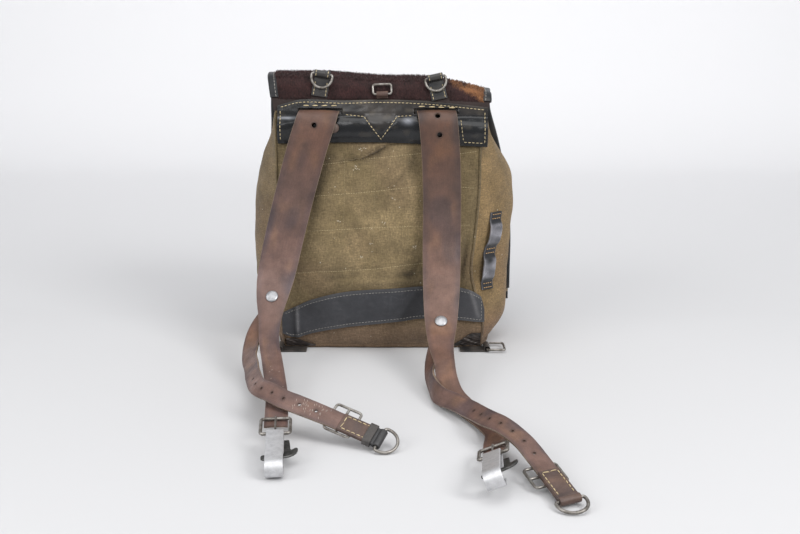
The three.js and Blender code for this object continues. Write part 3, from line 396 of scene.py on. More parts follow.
# %% Canvas
def canvas_finish(name):
    """Coarse canvas: warp and weft as two sine waves over the cloth's own lie, slubs as noise drawn
    out along each thread, a sprinkle of pale lint, and the tone of each place."""
    finish, shader, add, join = new_finish(name)
    threads_per_mm = 5.2
    lie = kept(add, "lie", "Vector")
    parts = add("SeparateXYZ", Vector=lie).outputs
    warp, weft = (maths(add, "SINE", maths(add, "MULTIPLY", parts[k], threads_per_mm)) for k in (0, 1))
    weave = maths(add, "MULTIPLY", warp, weft)
    down = add("Mapping", Vector=lie, Scale=(1.6, 0.10, 1.0)).outputs[0]
    side = add("Mapping", Vector=lie, Scale=(0.10, 1.6, 1.0)).outputs[0]
    slub = maths(add, "ADD", noise(add, down, 1.0, 3.0, 0.65), noise(add, side, 1.0, 3.0, 0.65))
    soil = noise(add, lie, 0.035, 7.0, 0.68)
    fluff = noise(add, lie, 0.45, 5.0, 0.75)
    spot = add("TexVoronoi", Vector=lie, Scale=0.16)
    size = add("SeparateColor", Color=spot.outputs["Color"]).outputs[0]
    lint = maths(add, "LESS_THAN", spot.outputs["Distance"], ramp(add, size, 0.6, 1.0, 0.02, 0.11))
    lint = maths(add, "MULTIPLY", lint, maths(add, "GREATER_THAN", size, 0.62))
    colour = times(add, kept(add, "tone"), ramp(add, soil, 0.32, 0.68, 0.74, 1.24))
    colour = times(add, colour, ramp(add, slub, 0.72, 1.28, 0.58, 1.44))
    colour = times(add, colour, ramp(add, weave, -1.0, 1.0, 0.84, 1.12))
    colour = times(add, colour, ramp(add, fluff, 0.3, 0.72, 0.62, 1.40))
    pale = mixed(add, lint, colour, (0.50, 0.46, 0.36, 1))
    bump = add("Bump", Strength=0.5, Distance=0.0004, Height=weave)
    bump2 = add("Bump", Strength=0.55, Distance=0.0005, Height=slub, Normal=bump.outputs[0])
    join(pale, shader.inputs["Base Color"])
    join(bump2.outputs[0], shader.inputs["Normal"])
    shader.inputs["Roughness"].default_value = 0.95
    shader.inputs["Sheen Weight"].default_value = 0.12
    shader.inputs["Sheen Roughness"].default_value = 0.6
    shader.inputs["Specular IOR Level"].default_value = 0.2
    return finish


# %% Metal, thread, hair and paper
def metal_finish(name, colour, dull, rough, spread):
    """Metal: a clear colour mixed with a dull one where noise gathers tarnish, roughness that follows
    it, and fine scratches as bump."""
    finish, shader, add, join = new_finish(name)
    where = add("TexCoord").outputs["Object"]
    tarnish = noise(add, where, 160.0, 6.0, 0.66)
    base = mixed(add, ramp(add, tarnish, 0.42, 0.66, 0.0, 1.0), (*colour, 1), (*dull, 1))
    long = add("Mapping", Vector=where, Scale=(1.0, 1.0, 0.06)).outputs[0]
    scratch = noise(add, long, 1800.0, 2.0)
    bump = add("Bump", Strength=0.12, Distance=0.0002, Height=scratch)
    join(base, shader.inputs["Base Color"])
    join(ramp(add, tarnish, 0.3, 0.7, rough - spread, rough + spread), shader.inputs["Roughness"])
    join(bump.outputs[0], shader.inputs["Normal"])
    shader.inputs["Metallic"].default_value = 1.0
    return finish


def thread_finish(name, colour):
    """Waxed thread: one colour, dirtied by noise, with a twist as bump."""
    finish, shader, add, join = new_finish(name)
    where = add("TexCoord").outputs["Object"]
    dirt = noise(add, where, 220.0, 5.0, 0.7)
    dark = tuple(c * 0.42 for c in colour)
    base = mixed(add, ramp(add, dirt, 0.4, 0.68, 0.0, 0.75), (*colour, 1), (*dark, 1))
    twist = noise(add, where, 3200.0, 1.0)
    bump = add("Bump", Strength=0.4, Distance=0.0002, Height=twist)
    join(base, shader.inputs["Base Color"])
    join(bump.outputs[0], shader.inputs["Normal"])
    shader.inputs["Roughness"].default_value = 0.8
    return finish


def hair_finish(name):
    """Short hair: the tone painted on each hair, a soft gloss, and a faint change with noise."""
    finish, shader, add, join = new_finish(name)
    where = add("TexCoord").outputs["Object"]
    patch = noise(add, where, 70.0, 5.0, 0.6)
    join(times(add, kept(add, "tone"), ramp(add, patch, 0.3, 0.7, 0.75, 1.25)), shader.inputs["Base Color"])
    shader.inputs["Roughness"].default_value = 0.62
    shader.inputs["Specular IOR Level"].default_value = 0.22
    shader.inputs["Sheen Weight"].default_value = 0.08
    shader.inputs["Sheen Roughness"].default_value = 0.5
    return finish


def floor_finish(name, low, high):
    """Plain pale paper with painted light: one colour where the lamps are near, and a lighter one far
    back and up the wall."""
    finish, shader, add, join = new_finish(name)
    back = add("SeparateXYZ", Vector=add("TexCoord").outputs["Object"]).outputs[1]
    # Painted light: lighter far back and up the wall.
    base = mixed(add, ramp(add, back, 0.1, 1.8, 0.0, 1.0), (*low, 1), (*high, 1))
    join(base, shader.inputs["Base Color"])
    shader.inputs["Roughness"].default_value = 0.9
    return finish


# %% The finishes of this pack
CANVAS_CLOTH = canvas_finish("canvas")
BLACK_LEATHER = leather_finish(
    "black_leather", grain=620.0, rough=0.32, spread=0.11, coat=0.1, depth=0.12, patches=0.35, cracks=0.7,
    shine=0.4,
)
POLISHED_LEATHER = leather_finish(
    "polished_leather", grain=620.0, rough=0.21, spread=0.06, coat=0.14, depth=0.05, patches=0.3,
    cracks=0.5, shine=0.36, creased=0.14,
)
GREY_LEATHER = leather_finish(
    "grey_black_leather", grain=700.0, rough=0.48, spread=0.1, depth=0.2, patches=0.16, cracks=0.4,
    shine=0.4,
)
STRAP_LEATHER = leather_finish(
    "strap_leather", grain=560.0, rough=0.52, spread=0.12, depth=0.2, patches=0.32, scratches=0.1,
)
HIDE_SKIN = leather_finish("hide_skin", grain=400.0, rough=0.8, spread=0.05)
HAIR = hair_finish("hide_hair")
STEEL = metal_finish("dull_steel", (0.33, 0.31, 0.285), (0.13, 0.115, 0.10), rough=0.48, spread=0.12)
ALUMINIUM = metal_finish("aluminium", (0.68, 0.68, 0.69), (0.55, 0.55, 0.56), rough=0.56, spread=0.06)
RIVET_METAL = metal_finish("rivet_metal", (0.44, 0.44, 0.45), (0.30, 0.30, 0.31), rough=0.5, spread=0.1)
DARK_STEEL = metal_finish("dark_steel", (0.12, 0.12, 0.115), (0.05, 0.05, 0.048), rough=0.5, spread=0.1)
CREAM_THREAD = thread_finish("cream_thread", (0.62, 0.50, 0.29))
PALE_THREAD = thread_finish("pale_thread", (0.36, 0.34, 0.31))
LINT_THREAD = thread_finish("lint_thread", (0.66, 0.60, 0.48))
SCUFF = thread_finish("scuff", (0.44, 0.36, 0.31))
TAN_THREAD = thread_finish("tan_thread", (0.55, 0.33, 0.14))
QUILT_THREAD = thread_finish("quilt_thread", (0.46, 0.37, 0.21))
OLIVE_THREAD = thread_finish("olive_thread", (0.30, 0.235, 0.13))
print("finishes:", len(bpy.data.materials))

# %% Floor and wall
SWEEP_HALF, BEND_FROM, BEND = 4.0, 1.4, 0.5
bend_angle = np.linspace(0, np.pi / 2, 17)[1:]
sweep_y = np.concatenate([
    np.linspace(-SWEEP_HALF, BEND_FROM, 12), BEND_FROM + BEND * np.sin(bend_angle),
    np.full(10, BEND_FROM + BEND),
])
sweep_z = np.concatenate([np.zeros(12), BEND - BEND * np.cos(bend_angle), np.linspace(0.7, SWEEP_HALF, 10)])
sweep_x = np.linspace(-SWEEP_HALF, SWEEP_HALF, 9)[:, None]
sweep_points = np.stack(np.broadcast_arrays(sweep_x, sweep_y, sweep_z), -1)
floor = bpy.data.meshes.new("floor")
floor.from_pydata(sweep_points.reshape(-1, 3).tolist(), [], grid_quads(9, len(sweep_y)).tolist())
floor.materials.append(floor_finish("pale_floor", (0.585, 0.583, 0.59), (0.95, 0.945, 0.955)))
floor.polygons.foreach_set("use_smooth", np.ones(len(floor.polygons), bool))
floor_thing = bpy.data.objects.new("floor", floor)
scene.collection.objects.link(floor_thing)
print("floor and wall:", len(floor.polygons), "quads")

# %% [markdown]
# ## The canvas bag
# The bag is four walls and a base of thick canvas, full enough to bulge. Level sections in a table
# give the seams, the belly and the swell of the sides; a wall is then a function of the place across
# it and the height. Folds are pressed in as long soft dents, and rows of quilting pull a shallow
# groove. The same dents also darken the cloth: some as stains, some as painted shade in creases and
# as a painted shadow beside the left strap. The far wall and the base are hardly seen and are made
# plainly, by the same functions.

# %% Sizes of the bag
GAP, CANVAS, HIDE, LEATHER = 0.3, 2.0, 3.0, 2.4
WALL_BOTTOM, RIM, FRONT_CROWN = 2.7, 285.0, 6.0
INSIDE = np.array([0.0, 0.0, 140.0])
BODY = table(
    "z left right back belly swell_left swell_right front",
    (2.7, -119, 117, -46, 3, 9, 10, 46),
    (14, -120, 118, -50, 5, 15, 20, 49),
    (32, -121, 119, -53, 8, 21, 30, 52),
    (62, -122, 112, -55, 12, 30, 41, 55),
    (95, -122, 104, -56, 16, 35, 49, 57),
    (135, -122, 107, -56, 18, 36, 49, 58),
    (180, -122, 111, -56, 16, 33, 46, 57),
    (212, -122, 112, -56, 12, 28, 41, 56),
    (240, -122, 112, -56, 9, 18, 25, 53),
    (262, -122, 114, -55, 6, 9, 12, 50),
    (285, -122, 116, -54, 4, 5, 6, 48),
)
print("bag:", len(BODY["z"]), "level sections up to", RIM, "mm")

# %% Folds, stains, painted shade and quilting
FOLDS = table(
    "x z length width depth slope",
    (-18, 232, 34, 7, 2.6, 24),
    (12, 214, 30, 8, 2.0, 18),
    (92, 98, 34, 8, 5.0, 82),
    (-30, 168, 46, 9, 1.8, 8),
    (20, 118, 44, 10, 2.2, -6),
    (-70, 112, 26, 9, 2.4, 58),
)
CREASES = table(
    "x z length width depth slope",
    (-6, 238.5, 20, 2.6, 2.6, 29),
    (-12, 243, 18, 4.0, -1.4, 29),
    (-36, 228, 18, 2.4, 1.3, 14),
    (17, 204, 16, 3.2, 1.8, 50),
    (24, 228, 18, 3.0, 1.4, 62),
    (-30, 214, 16, 4.0, -1.2, 38),
    (-52, 216, 20, 3.0, 1.0, 62),
    (-24, 140, 16, 2.6, 0.9, -52),
    (-38, 124, 14, 2.4, 0.9, -70),
    (-30, 108, 14, 2.6, 0.8, 76),
    (40, 104, 18, 3.0, 1.6, 58),
    (30, 94, 26, 2.6, 1.6, 4),
    (6, 88, 34, 4.5, -1.8, 3),
    (-44, 92, 16, 3.0, 1.8, 12),
    (-78, 96, 18, 2.6, 1.1, 48),
    (-92, 84, 14, 2.6, 1.2, 66),
    (95, 112, 26, 3.2, 5.0, 82),
    (100, 88, 16, 2.6, 1.4, 64),
    (-86, 150, 22, 3.0, 0.9, 74),
)
# Dark marks on the canvas: some are stains; the rows at (-8, 236), (20, 207) and (96, 110) are painted
# shade in creases, and the rows at (-61, 232) and (-73, 201) are the left strap's painted shadow, partly
# stain.
STAINS_AND_SHADE = table(
    "x z length width depth slope",
    (45, 92, 34, 16, 0.34, 0),
    (40, 14, 30, 12, 0.36, 0),
    (34, 229, 15, 7, 0.34, 84),
    (-61, 232, 14, 8, 0.32, 80),
    (-73, 201, 34, 7, 0.5, 72.5),
    (-8, 236, 20, 4, 0.3, 29),
    (20, 207, 16, 4, 0.22, 50),
    (-60, 70, 40, 10, 0.22, 20),
    (96, 110, 24, 4, 0.45, 82),
    (30, 97, 9, 7, 0.3, 0),
)
LINT = [
    (-31, 221), (-29, 219), (-22, 243), (-24, 241), (-50, 158), (0, 158), (38, 129), (37, 131), (12, 186),
    (-24, 118), (-14, 135),
]
QUILT_ROWS = [
    np.array([(-112, 221), (-67, 225), (-10, 232), (44, 237.5), (89, 236.6), (108, 239)]),
    np.array([(-114, 185), (-79, 188.4), (-10, 194.6), (45, 201), (90, 198.3), (106, 196.5)]),
    np.array([(-114, 145), (-90, 147), (-12, 153.3), (46, 154.3), (94, 153.3), (102, 153.3)]),
    np.array([(-112, 95), (-93, 97), (-48, 101), (-8, 104), (32, 108.5), (70, 110)]),
    np.array([(-43.6, 232), (-43.8, 222), (-43, 191), (-46, 150), (-32, 120), (-36, 84)]),
    np.array([(-9.4, 247), (-9.4, 167), (-11.5, 106)]),
    np.array([(30, 151), (29, 128)]),
]
print("marks:", len(FOLDS["x"]), "folds,", len(CREASES["x"]), "creases,", len(STAINS_AND_SHADE["x"]), "stains")


# %% Dents and drawn lines
def dents(rows, x, z):
    """Soft dents: each is a bell along its own slope and a narrower bell across it."""
    angle = np.radians(rows["slope"])
    dx, dz = x[..., None] - rows["x"], z[..., None] - rows["z"]
    along = (dx * np.cos(angle) + dz * np.sin(angle)) / rows["length"]
    aside = (dz * np.cos(angle) - dx * np.sin(angle)) / rows["width"]
    return (rows["depth"] * np.exp(-(along**2) - aside**2)).sum(-1)


def along_line(points, spacing):
    """A broken line measured off at even spacing."""
    run = np.concatenate([[0], np.cumsum(np.linalg.norm(np.diff(points, axis=0), axis=1))])
    at = np.linspace(0, run[-1], max(int(run[-1] / spacing), 2))
    return np.stack([np.interp(at, run, column) for column in np.transpose(points)], -1)


def quilting(x, z):
    """How deep the quilting pulls the canvas in: a narrow bell of the distance to the nearest row."""
    spots = np.concatenate([along_line(row, 2.0) for row in QUILT_ROWS])
    flat = np.stack([x, z], -1).reshape(-1, 2)
    near = np.full(len(flat), 1e9)
    for spot in spots:
        near = np.minimum(near, ((flat - spot) ** 2).sum(-1))
    return np.exp(-near / 5.0).reshape(np.shape(x))


quilt_spots = sum(len(along_line(row, 2.0)) for row in QUILT_ROWS)
print("quilting:", quilt_spots, "spots two millimetres apart")


# %% The walls as functions
def back_flat(x, z):
    """The wearer's side as the model has it: y from the seam line, the belly and the folds."""
    left, right = (follow(BODY, "z", name, z) for name in ("left", "right"))
    s = np.clip((x - left) / (right - left) * 2 - 1, -1, 1)
    middle = 1 - s * s
    belly = follow(BODY, "z", "back", z) - follow(BODY, "z", "belly", z) * middle
    return belly + dents(FOLDS, x, z) * np.minimum(1, 2 * middle)


def back_wall(s, z):
    """The wearer's side, s from -1 at the left seam to 1 at the right one: the model's shape, with
    creases, quilting and a gentle ripple that die out towards the seams."""
    left, right = (follow(BODY, "z", name, z) for name in ("left", "right"))
    x = left + (right - left) * (s + 1) / 2
    calm = np.minimum(1, 5 * (1 - np.abs(s)))
    uneven = dents(CREASES, x, z) + 0.7 * quilting(x, z)
    uneven = uneven + 0.7 * ripple(x, z, 42, 3) + 0.25 * ripple(x, z, 14, 4)
    return np.stack([x, back_flat(x, z) + calm * uneven, z], -1)


def far_wall(s, z):
    """The far side: a line between the seams that swells by a crown in the middle."""
    left, right = (follow(BODY, "z", name, z) for name in ("left", "right"))
    x = left + (right - left) * (s + 1) / 2
    y = follow(BODY, "z", "front", z) + FRONT_CROWN * (1 - s * s) + 0.5 * ripple(x, z, 50, 6)
    return np.stack([x, y, z], -1)


def side_plain(side, t, z):
    """A side of the bag, t from 0 at the back seam to 1 at the far one: a parabola of swell."""
    seam_name = "left" if side < 0 else "right"
    names = (seam_name, "swell_" + seam_name, "back", "front")
    seam, swell, back, front = (follow(BODY, "z", name, z) for name in names)
    return np.stack([seam + side * (GAP + swell * 4 * t * (1 - t)), back + (front - back) * t, z], -1)


def side_wall(side, t, z):
    """That side with its upper edge arched under the flap, and ripples pushed in and out."""
    arch = 26 if side < 0 else 11.5
    z = z + arch * np.maximum(0, 8 * t * (1 - t) - 1) * (z / RIM) ** 4
    points = side_plain(side, t, z)
    calm = np.minimum(1, 8 * t) * np.minimum(1, 8 * (1 - t))
    y = points[..., 1]
    push = 1.1 * ripple(y * 1.6, z, 60, 9 + side) + 0.5 * ripple(y, z, 22, 12 + side) - 0.8
    points[..., 0] += side * calm * push
    return points


belly_y, crown_y = (shape(np.array([0.0]), INSIDE[2:])[0, 1] for shape in (back_wall, far_wall))
print(f"depth at half height: {crown_y - belly_y:.0f} mm")


# %% Colour and flat size of the canvas
def canvas_tone(x, z):
    """The canvas's broad colour: olive khaki, browner low down, darker in the stains and in painted
    shade along creases and beside the left strap, and paler on the belly."""
    olive, khaki, brown = (0.152, 0.112, 0.054), (0.236, 0.174, 0.092), (0.198, 0.128, 0.080)
    tone = blend_of(olive, khaki, 0.5 + 0.32 * ripple(x, z, 90, 21) + 0.2 * ripple(x, z, 30, 22))
    tone = blend_of(tone, brown, 0.85 * step(60, 20, z) + 0.3 * step(0.2, 0.9, ripple(x, z, 120, 23)))
    # Painted shade and a painted shadow darken the cloth here, together with its real stains.
    stain_and_shade = dents(STAINS_AND_SHADE, x, z)
    belly = bell(x, -5, 75) * bell(z, 145, 62)
    return tone * ((1 - np.clip(stain_and_shade, 0, 0.6)) * (0.92 + 0.26 * belly))[..., None]


def laid_flat(name, grid):
    """The greatest width, the length up the middle and the area of a grid of points, in metres: the
    area of a quad is half the cross product of its diagonals."""
    width = np.linalg.norm(np.diff(grid, axis=1), axis=-1).sum(1).max() * MM
    length = np.linalg.norm(np.diff(grid[:, grid.shape[1] // 2], axis=0), axis=-1).sum() * MM
    crossed = np.cross(grid[1:, 1:] - grid[:-1, :-1], grid[1:, :-1] - grid[:-1, 1:])
    area = np.linalg.norm(crossed, axis=-1).sum() / 2 * MM**2
    print(f"{name} laid flat: {width:.3f} by {length:.3f} m, {area:.4f} square metres")
    return width, length, area


def canvas_piece(name, shape, across, columns, rows, stands_for, shift=0, tint=(1, 1, 1)):
    """A wall of the bag as a closed sheet: a grid of shape(u, z), and a second grid inside it. Its lie
    is the distance along each row, and the height."""
    u, z = np.meshgrid(np.linspace(*across, columns), np.linspace(WALL_BOTTOM, RIM, rows))
    outer = shape(u, z)
    _, normal = on_surface(shape, u, z, outer - INSIDE, du=0.004, dv=0.5)
    inner = outer - CANVAS * normal
    inner[..., 2] = outer[..., 2]
    x, y, z = (outer[..., k] for k in range(3))
    gaps = np.linalg.norm(np.diff(outer[..., :2], axis=1), axis=-1)
    run = np.cumsum(np.concatenate([np.zeros((rows, 1)), gaps], 1), 1)
    lie = np.tile(np.stack([run, z, 0 * z], -1).reshape(-1, 3), (2, 1))
    tone = both_faces(canvas_tone(x + shift * y, z) * tint)
    piece = make_piece(
        name, wall(outer, inner), CANVAS_CLOTH, "canvas", stands_for=stands_for, lie=lie, tone=tone,
    )
    width, height, area = laid_flat(name, outer)


# %% The four walls
canvas_piece("canvas_back", back_wall, (-1, 1), columns=151, rows=155, stands_for="back_panel")
canvas_piece("canvas_far", far_wall, (-1, 1), columns=61, rows=61, stands_for="front_panel")
for side, side_name, tint in ((-1, "left", (1.02, 0.98, 0.98)), (1, "right", (1.22, 1.10, 0.96))):
    canvas_piece(
        f"canvas_{side_name}", lambda t, z: side_wall(side, t, z), (0, 1), columns=61, rows=121,
        stands_for=f"gusset_{side_name}", shift=1, tint=tint,
    )

# %% [markdown]
# ## Base, welts and quilting thread
# Where two walls meet, the canvas is turned in and sewn, which leaves a low ridge called a welt. The
# base is a second layer of the same cloth. Stitches are small grains of thread set end to end along a
# line: real geometry, because they catch the light, but only thirty points each. Bits of lint on the
# canvas are the same grains, strewn by chance round a few spots.

# %% The base and the welts
def level_ring(z):
    """The bag's outline at one height: along the back, round the right side, along the far wall and
    back round the left side."""
    across, around = np.linspace(-1, 1, 61), np.linspace(0.02, 0.98, 31)
    level = np.full(61, float(z)), np.full(31, float(z))
    return np.concatenate([
        back_wall(across, level[0]), side_plain(1, around, level[1]),
        far_wall(across[::-1], level[0]), side_plain(-1, around[::-1], level[1]),
    ])


def upright(count):
    """The upward direction, once for each station of a path."""
    return np.tile([0.0, 0.0, 1.0], (count, 1))


def cloth_values(points, darker=1.0):
    """The lie and the tone of small canvas pieces, from where their points are."""
    x, y, z = points.T
    lie = np.stack([x + y, z + 0.5 * y, 0 * x], -1)
    return {"lie": lie, "tone": painted(canvas_tone(x, z) * darker, len(points))}


bottom_ring = level_ring(WALL_BOTTOM)
base_section = np.array([(0.004, 0), (0.97, 0), (0.995, 0.6), (1, 1.4), (0.99, 2.2), (0.004, 2.4)])
base_out = bottom_ring * [1, 1, 0]
base_shape = carried(base_section, 0 * base_out, base_out, upright(len(base_out)), ring=True)
base_values = cloth_values(base_shape[0])
make_piece("canvas_base", base_shape, CANVAS_CLOTH, "canvas", stands_for="base_panel", **base_values)


def welt(line, out, size, ring=False):
    """A seam's ridge: a flattened round section carried along the seam, pressed part of the way in."""
    ahead = unit(np.gradient(line, axis=0))
    out = np.broadcast_to(out, line.shape)
    out = unit(out - ahead * (out * ahead).sum(-1, keepdims=True))
    angle = np.linspace(0, 2 * np.pi, 10, endpoint=False)
    section = size * np.stack([0.8 * np.cos(angle), np.sin(angle)], -1)
    return carried(section, line + 0.3 * out, out, np.cross(ahead, out), ring=ring)


seam_z = np.linspace(4, 283, 120)
foot_ring = level_ring(4.0) + [0, 0, -0.8]
welt_shape = joined([
    welt(back_wall(-1 + 0 * seam_z, seam_z), (-1, -1, 0), 1.5),
    welt(back_wall(1 + 0 * seam_z, seam_z), (1, -1, 0), 1.7),
    welt(far_wall(-1 + 0 * seam_z, seam_z), (-1, 1, 0), 1.5),
    welt(far_wall(1 + 0 * seam_z, seam_z), (1, 1, 0), 1.5),
    welt(foot_ring, foot_ring * [1, 1, 0], 1.5, ring=True),
])
make_piece("canvas_welts", welt_shape, CANVAS_CLOTH, "canvas", **cloth_values(welt_shape[0], darker=0.8))


# %% Stitches
def stitch_row(line, normal, length, gap, thick, seed):
    """A row of stitches along a line on a surface: each is a grain with five rings of six points, fat
    in the middle and arched a little off the surface, none quite straight."""
    run = np.concatenate([[0], np.cumsum(np.linalg.norm(np.diff(line, axis=0), axis=1))])
    count = max(int(run[-1] / (length + gap)), 1)
    pitch = run[-1] / count
    pick = np.random.default_rng(seed)
    at = (np.arange(count) + 0.5) * pitch + pick.uniform(-0.12, 0.12, count) * gap

    def spot(distance, values):
        """The values at a distance along the line, each column between its two neighbours."""
        return np.stack([np.interp(distance, run, column) for column in values.T], -1)

    n, ahead = unit(spot(at, unit(normal))), unit(spot(at + 0.4, line) - spot(at - 0.4, line))
    side = unit(np.cross(n, ahead))
    ahead = unit(ahead + side * pick.normal(0, 0.06, (count, 1)))
    q, fat = np.linspace(-1, 1, 5), np.array([0.4, 0.9, 1.0, 0.9, 0.4]) * thick / 2
    lift, angle = thick * (0.3 * (1 - q * q) - 0.05), np.arange(6) * np.pi / 3
    slide = ahead[:, None] * ((pitch - gap) / 2 * q)[:, None]
    middle = spot(at, line)[:, None] + slide + n[:, None] * lift[:, None]
    around = side[:, None, None] * np.cos(angle)[:, None] + n[:, None, None] * np.sin(angle)[:, None]
    points = (middle[:, :, None] + around * fat[:, None, None]).reshape(-1, 3)
    start = (np.arange(count) * 30)[:, None, None]
    body, ends = grid_quads(5, 6, wrap_columns=True), [np.arange(6)[::-1], np.arange(24, 30)]
    end_faces = [(end[None, None] + start).reshape(-1, 6) for end in ends]
    return points, [(body + start).reshape(-1, 4), *end_faces]


def sew(name, rows, finish, slot, length, gap, thick):
    """Several rows of stitches as one piece; each row is (points, normals)."""
    shapes = [stitch_row(*row, length, gap, thick, seed) for seed, row in enumerate(rows)]
    make_piece(name, joined(shapes), finish, slot)


def back_row(row):
    """A row drawn as (x, z) on the wearer's side, as points and normals of the canvas."""
    x, z = along_line(row, 1.2).T
    left, right = (follow(BODY, "z", name, z) for name in ("left", "right"))
    s = np.clip((x - left) / (right - left) * 2 - 1, -0.99, 0.99)
    return on_surface(back_wall, s, z, (0, -1, 0), du=0.004)


LEVEL_ROWS, LINT_EACH, LINT_LONG = 4, 3, 2.2
quilt_rows = [back_row(row) for row in QUILT_ROWS]
sew("quilting_thread", quilt_rows[:LEVEL_ROWS], QUILT_THREAD, "canvas", length=2.4, gap=0.5, thick=0.55)
pick = np.random.default_rng(14)
lint_rows = []
for spot in LINT:
    start, angle = spot + pick.normal(0, 1.0, (LINT_EACH, 2)), pick.uniform(0, np.pi, LINT_EACH)
    ways = LINT_LONG * np.stack([np.cos(angle), np.sin(angle)], -1)
    lint_rows += [back_row(np.array([p, p + way])) for p, way in zip(start, ways)]
sew("lint", lint_rows, LINT_THREAD, "canvas", length=1.8, gap=0.4, thick=0.55)
sew("upright_quilting", quilt_rows[LEVEL_ROWS:], OLIVE_THREAD, "canvas", length=2.4, gap=0.6, thick=0.5)

# %% [markdown]
# ## The flap of hide
# The flap is one calfskin with its hair left on, sewn to the back rim, carried over the top and down
# the far side. It is a sheet on a grid: one parameter runs from rim to hem through a table of rows,
# the other runs across. Its right shoulder slumps. Black leather is folded over its edges as a binding.

# %% The hide sheet
FLAP = table(
    "y z left right crown slump",
    (-54, 285.3, -124, 120.5, -3.2, 0),
    (-51, 300, -126, 122.5, -4, 5),
    (-47, 313, -128, 123, -4, 13),
    (-37, 322, -130, 123.5, -3, 19),
    (-18, 324.8, -132, 124, 0, 21),
    (10, 323.6, -134, 126, 0, 20),
    (36, 320, -136, 128.5, 2, 17),
    (52, 306, -138, 130, 4, 12),
    (58, 285, -139, 131, 6, 7),
    (62, 240, -141, 143, 8, 3),
    (66, 180, -150, 156, 9, 0),
    (66, 120, -158, 161, 8, 0),
    (64, 70, -163, 161, 7, 0),
    (62, 34, -165, 161, 6, 0),
)
FLAP["place"] = np.arange(14.0)
FLAP_END, FLAP_HEM = 13.0, 0.91
HAIRY_SKIN, RAW_SKIN = (0.020, 0.010, 0.008), (0.30, 0.24, 0.16)


def flap_skin(place, s):
    """The hide's outer face, place from 0 at the rim to 13 at the hem and s from -1 to 1 across: each
    row is a line with a crown in its middle. It sinks towards the right: a quarter of the slump as an
    easy slope over the middle, the rest as a power of the distance past the right strap."""
    row = {name: follow(FLAP, "place", name, place) for name in FLAP}
    x = row["left"] + (row["right"] - row["left"]) * (s + 1) / 2
    sink = row["slump"] * (0.24 * step(-75, 10, x) + 0.76 * np.clip((x - 42) / 80, 0, 1) ** 1.5)
    return np.stack([x, row["y"] + row["crown"] * (1 - s * s), row["z"] - sink], -1)


def flap_look(place, s):
    """The hide's outward direction."""
    place, s = np.clip(place, 0.05, FLAP_END - 0.05), np.clip(s, -0.97, 0.97)
    y, z = (follow(FLAP, "place", name, place) for name in ("y", "z"))
    out = np.stack([0 * y, y, np.maximum(z - 260, 0)], -1)
    return on_surface(flap_skin, place, s, out, du=0.03, dv=0.02)[1]


flap_s, flap_place = np.meshgrid(np.linspace(-1, 1, 61), np.linspace(0, FLAP_END, 131))
flap_outer = flap_skin(flap_place, flap_s)
flap_thick = 2 + (HIDE - 2) * step(0, 0.6, flap_place)
flap_inner = flap_outer - flap_look(flap_place, flap_s) * flap_thick[..., None]
flap_tone = np.concatenate([painted(skin, flap_s.size) for skin in (HAIRY_SKIN, RAW_SKIN)])
hide_flap = make_piece(
    "hide_flap", wall(flap_outer, flap_inner), HIDE_SKIN, "hide", stands_for="lid_flap", tone=flap_tone,
)
flap_width, flap_length, flap_area = laid_flat("hide_flap", flap_outer)


# %% The bindings
def thickened(path, thickness):
    """A thin strip seen end on: the path moved half its thickness to one side, and back along the
    other."""
    ahead = unit(np.gradient(path, axis=0))
    aside = np.stack([-ahead[:, 1], ahead[:, 0]], -1) * thickness / 2
    return np.concatenate([path + aside, (path - aside)[::-1]])


fold_angle = np.linspace(np.pi / 2, 1.5 * np.pi, 11)
fold_path = np.concatenate([
    [(8.0, 1.1), (4.5, 1.25)],
    np.stack([0.3 + 1.6 * np.cos(fold_angle), -1.5 + 2.75 * np.sin(fold_angle)], -1),
    [(5.0, -4.25), (8.0, -4.1)],
])
BINDING_SECTION = thickened(fold_path, 1.4)
STITCH_IN, STITCH_OFF = 5.4, 1.9


def binding_stations(edge, inside, look):
    """The two directions of a binding's section: in from the edge, and off the face."""
    a = unit(inside - edge)
    return edge, a, unit(look - a * (look * a).sum(-1, keepdims=True))


def side_edge(side):
    """A side edge of the flap, from just above the yoke nearly to the hem."""
    place = np.linspace(1, FLAP_END - 0.36, 150)
    s = side + 0 * place
    return binding_stations(flap_skin(place, s), flap_skin(place, s * FLAP_HEM), flap_look(place, s))


hem_s = np.linspace(-1, 1, 90)
hem = FLAP_END + 0 * hem_s
hem_edge = binding_stations(flap_skin(hem, hem_s), flap_skin(hem - 0.4, hem_s), flap_look(hem, hem_s))
binding_edges = {"left": side_edge(-1), "right": side_edge(1), "front": hem_edge}
binding_thread = []
for place_name, stations in binding_edges.items():
    shape = carried(BINDING_SECTION, *stations)
    worn = ripple(shape[0][:, 0] + shape[0][:, 1], shape[0][:, 2], 30, 31)
    tone = painted(blend_of((0.008, 0.0085, 0.010), (0.034, 0.029, 0.025), step(0.2, 1.0, worn)), len(worn))
    make_piece(
        f"binding_{place_name}", shape, GREY_LEATHER, "black_leather",
        stands_for=f"flap_binding_{place_name}", bevel=0.3, tone=tone,
    )
    edge, a, b = stations
    binding_thread.append((edge + STITCH_IN * a + STITCH_OFF * b, b))
sew("binding_thread", binding_thread, PALE_THREAD, "black_leather", length=3.0, gap=1.2, thick=0.7)

# %% [markdown]
# ## Hair on the hide
# Blender can grow hair with a particle system, but an exported model keeps only meshes. So each hair
# here is a narrow blade of three triangles, rooted at a random spot of the hide, lying along the nap
# and lifting a little before it bends back. Dark brown hairs cover nearly all of it, and a ginger
# patch crosses the right end of the back.


# %% Growing the hair
# Each bare spot is a tab's place along the rim, its lean, half its width and its top.
BARE_SPOTS = ((-72, 0.25, 10, 326), (66, -0.26, 10, 322), (0.4, 0, 7.5, 306))


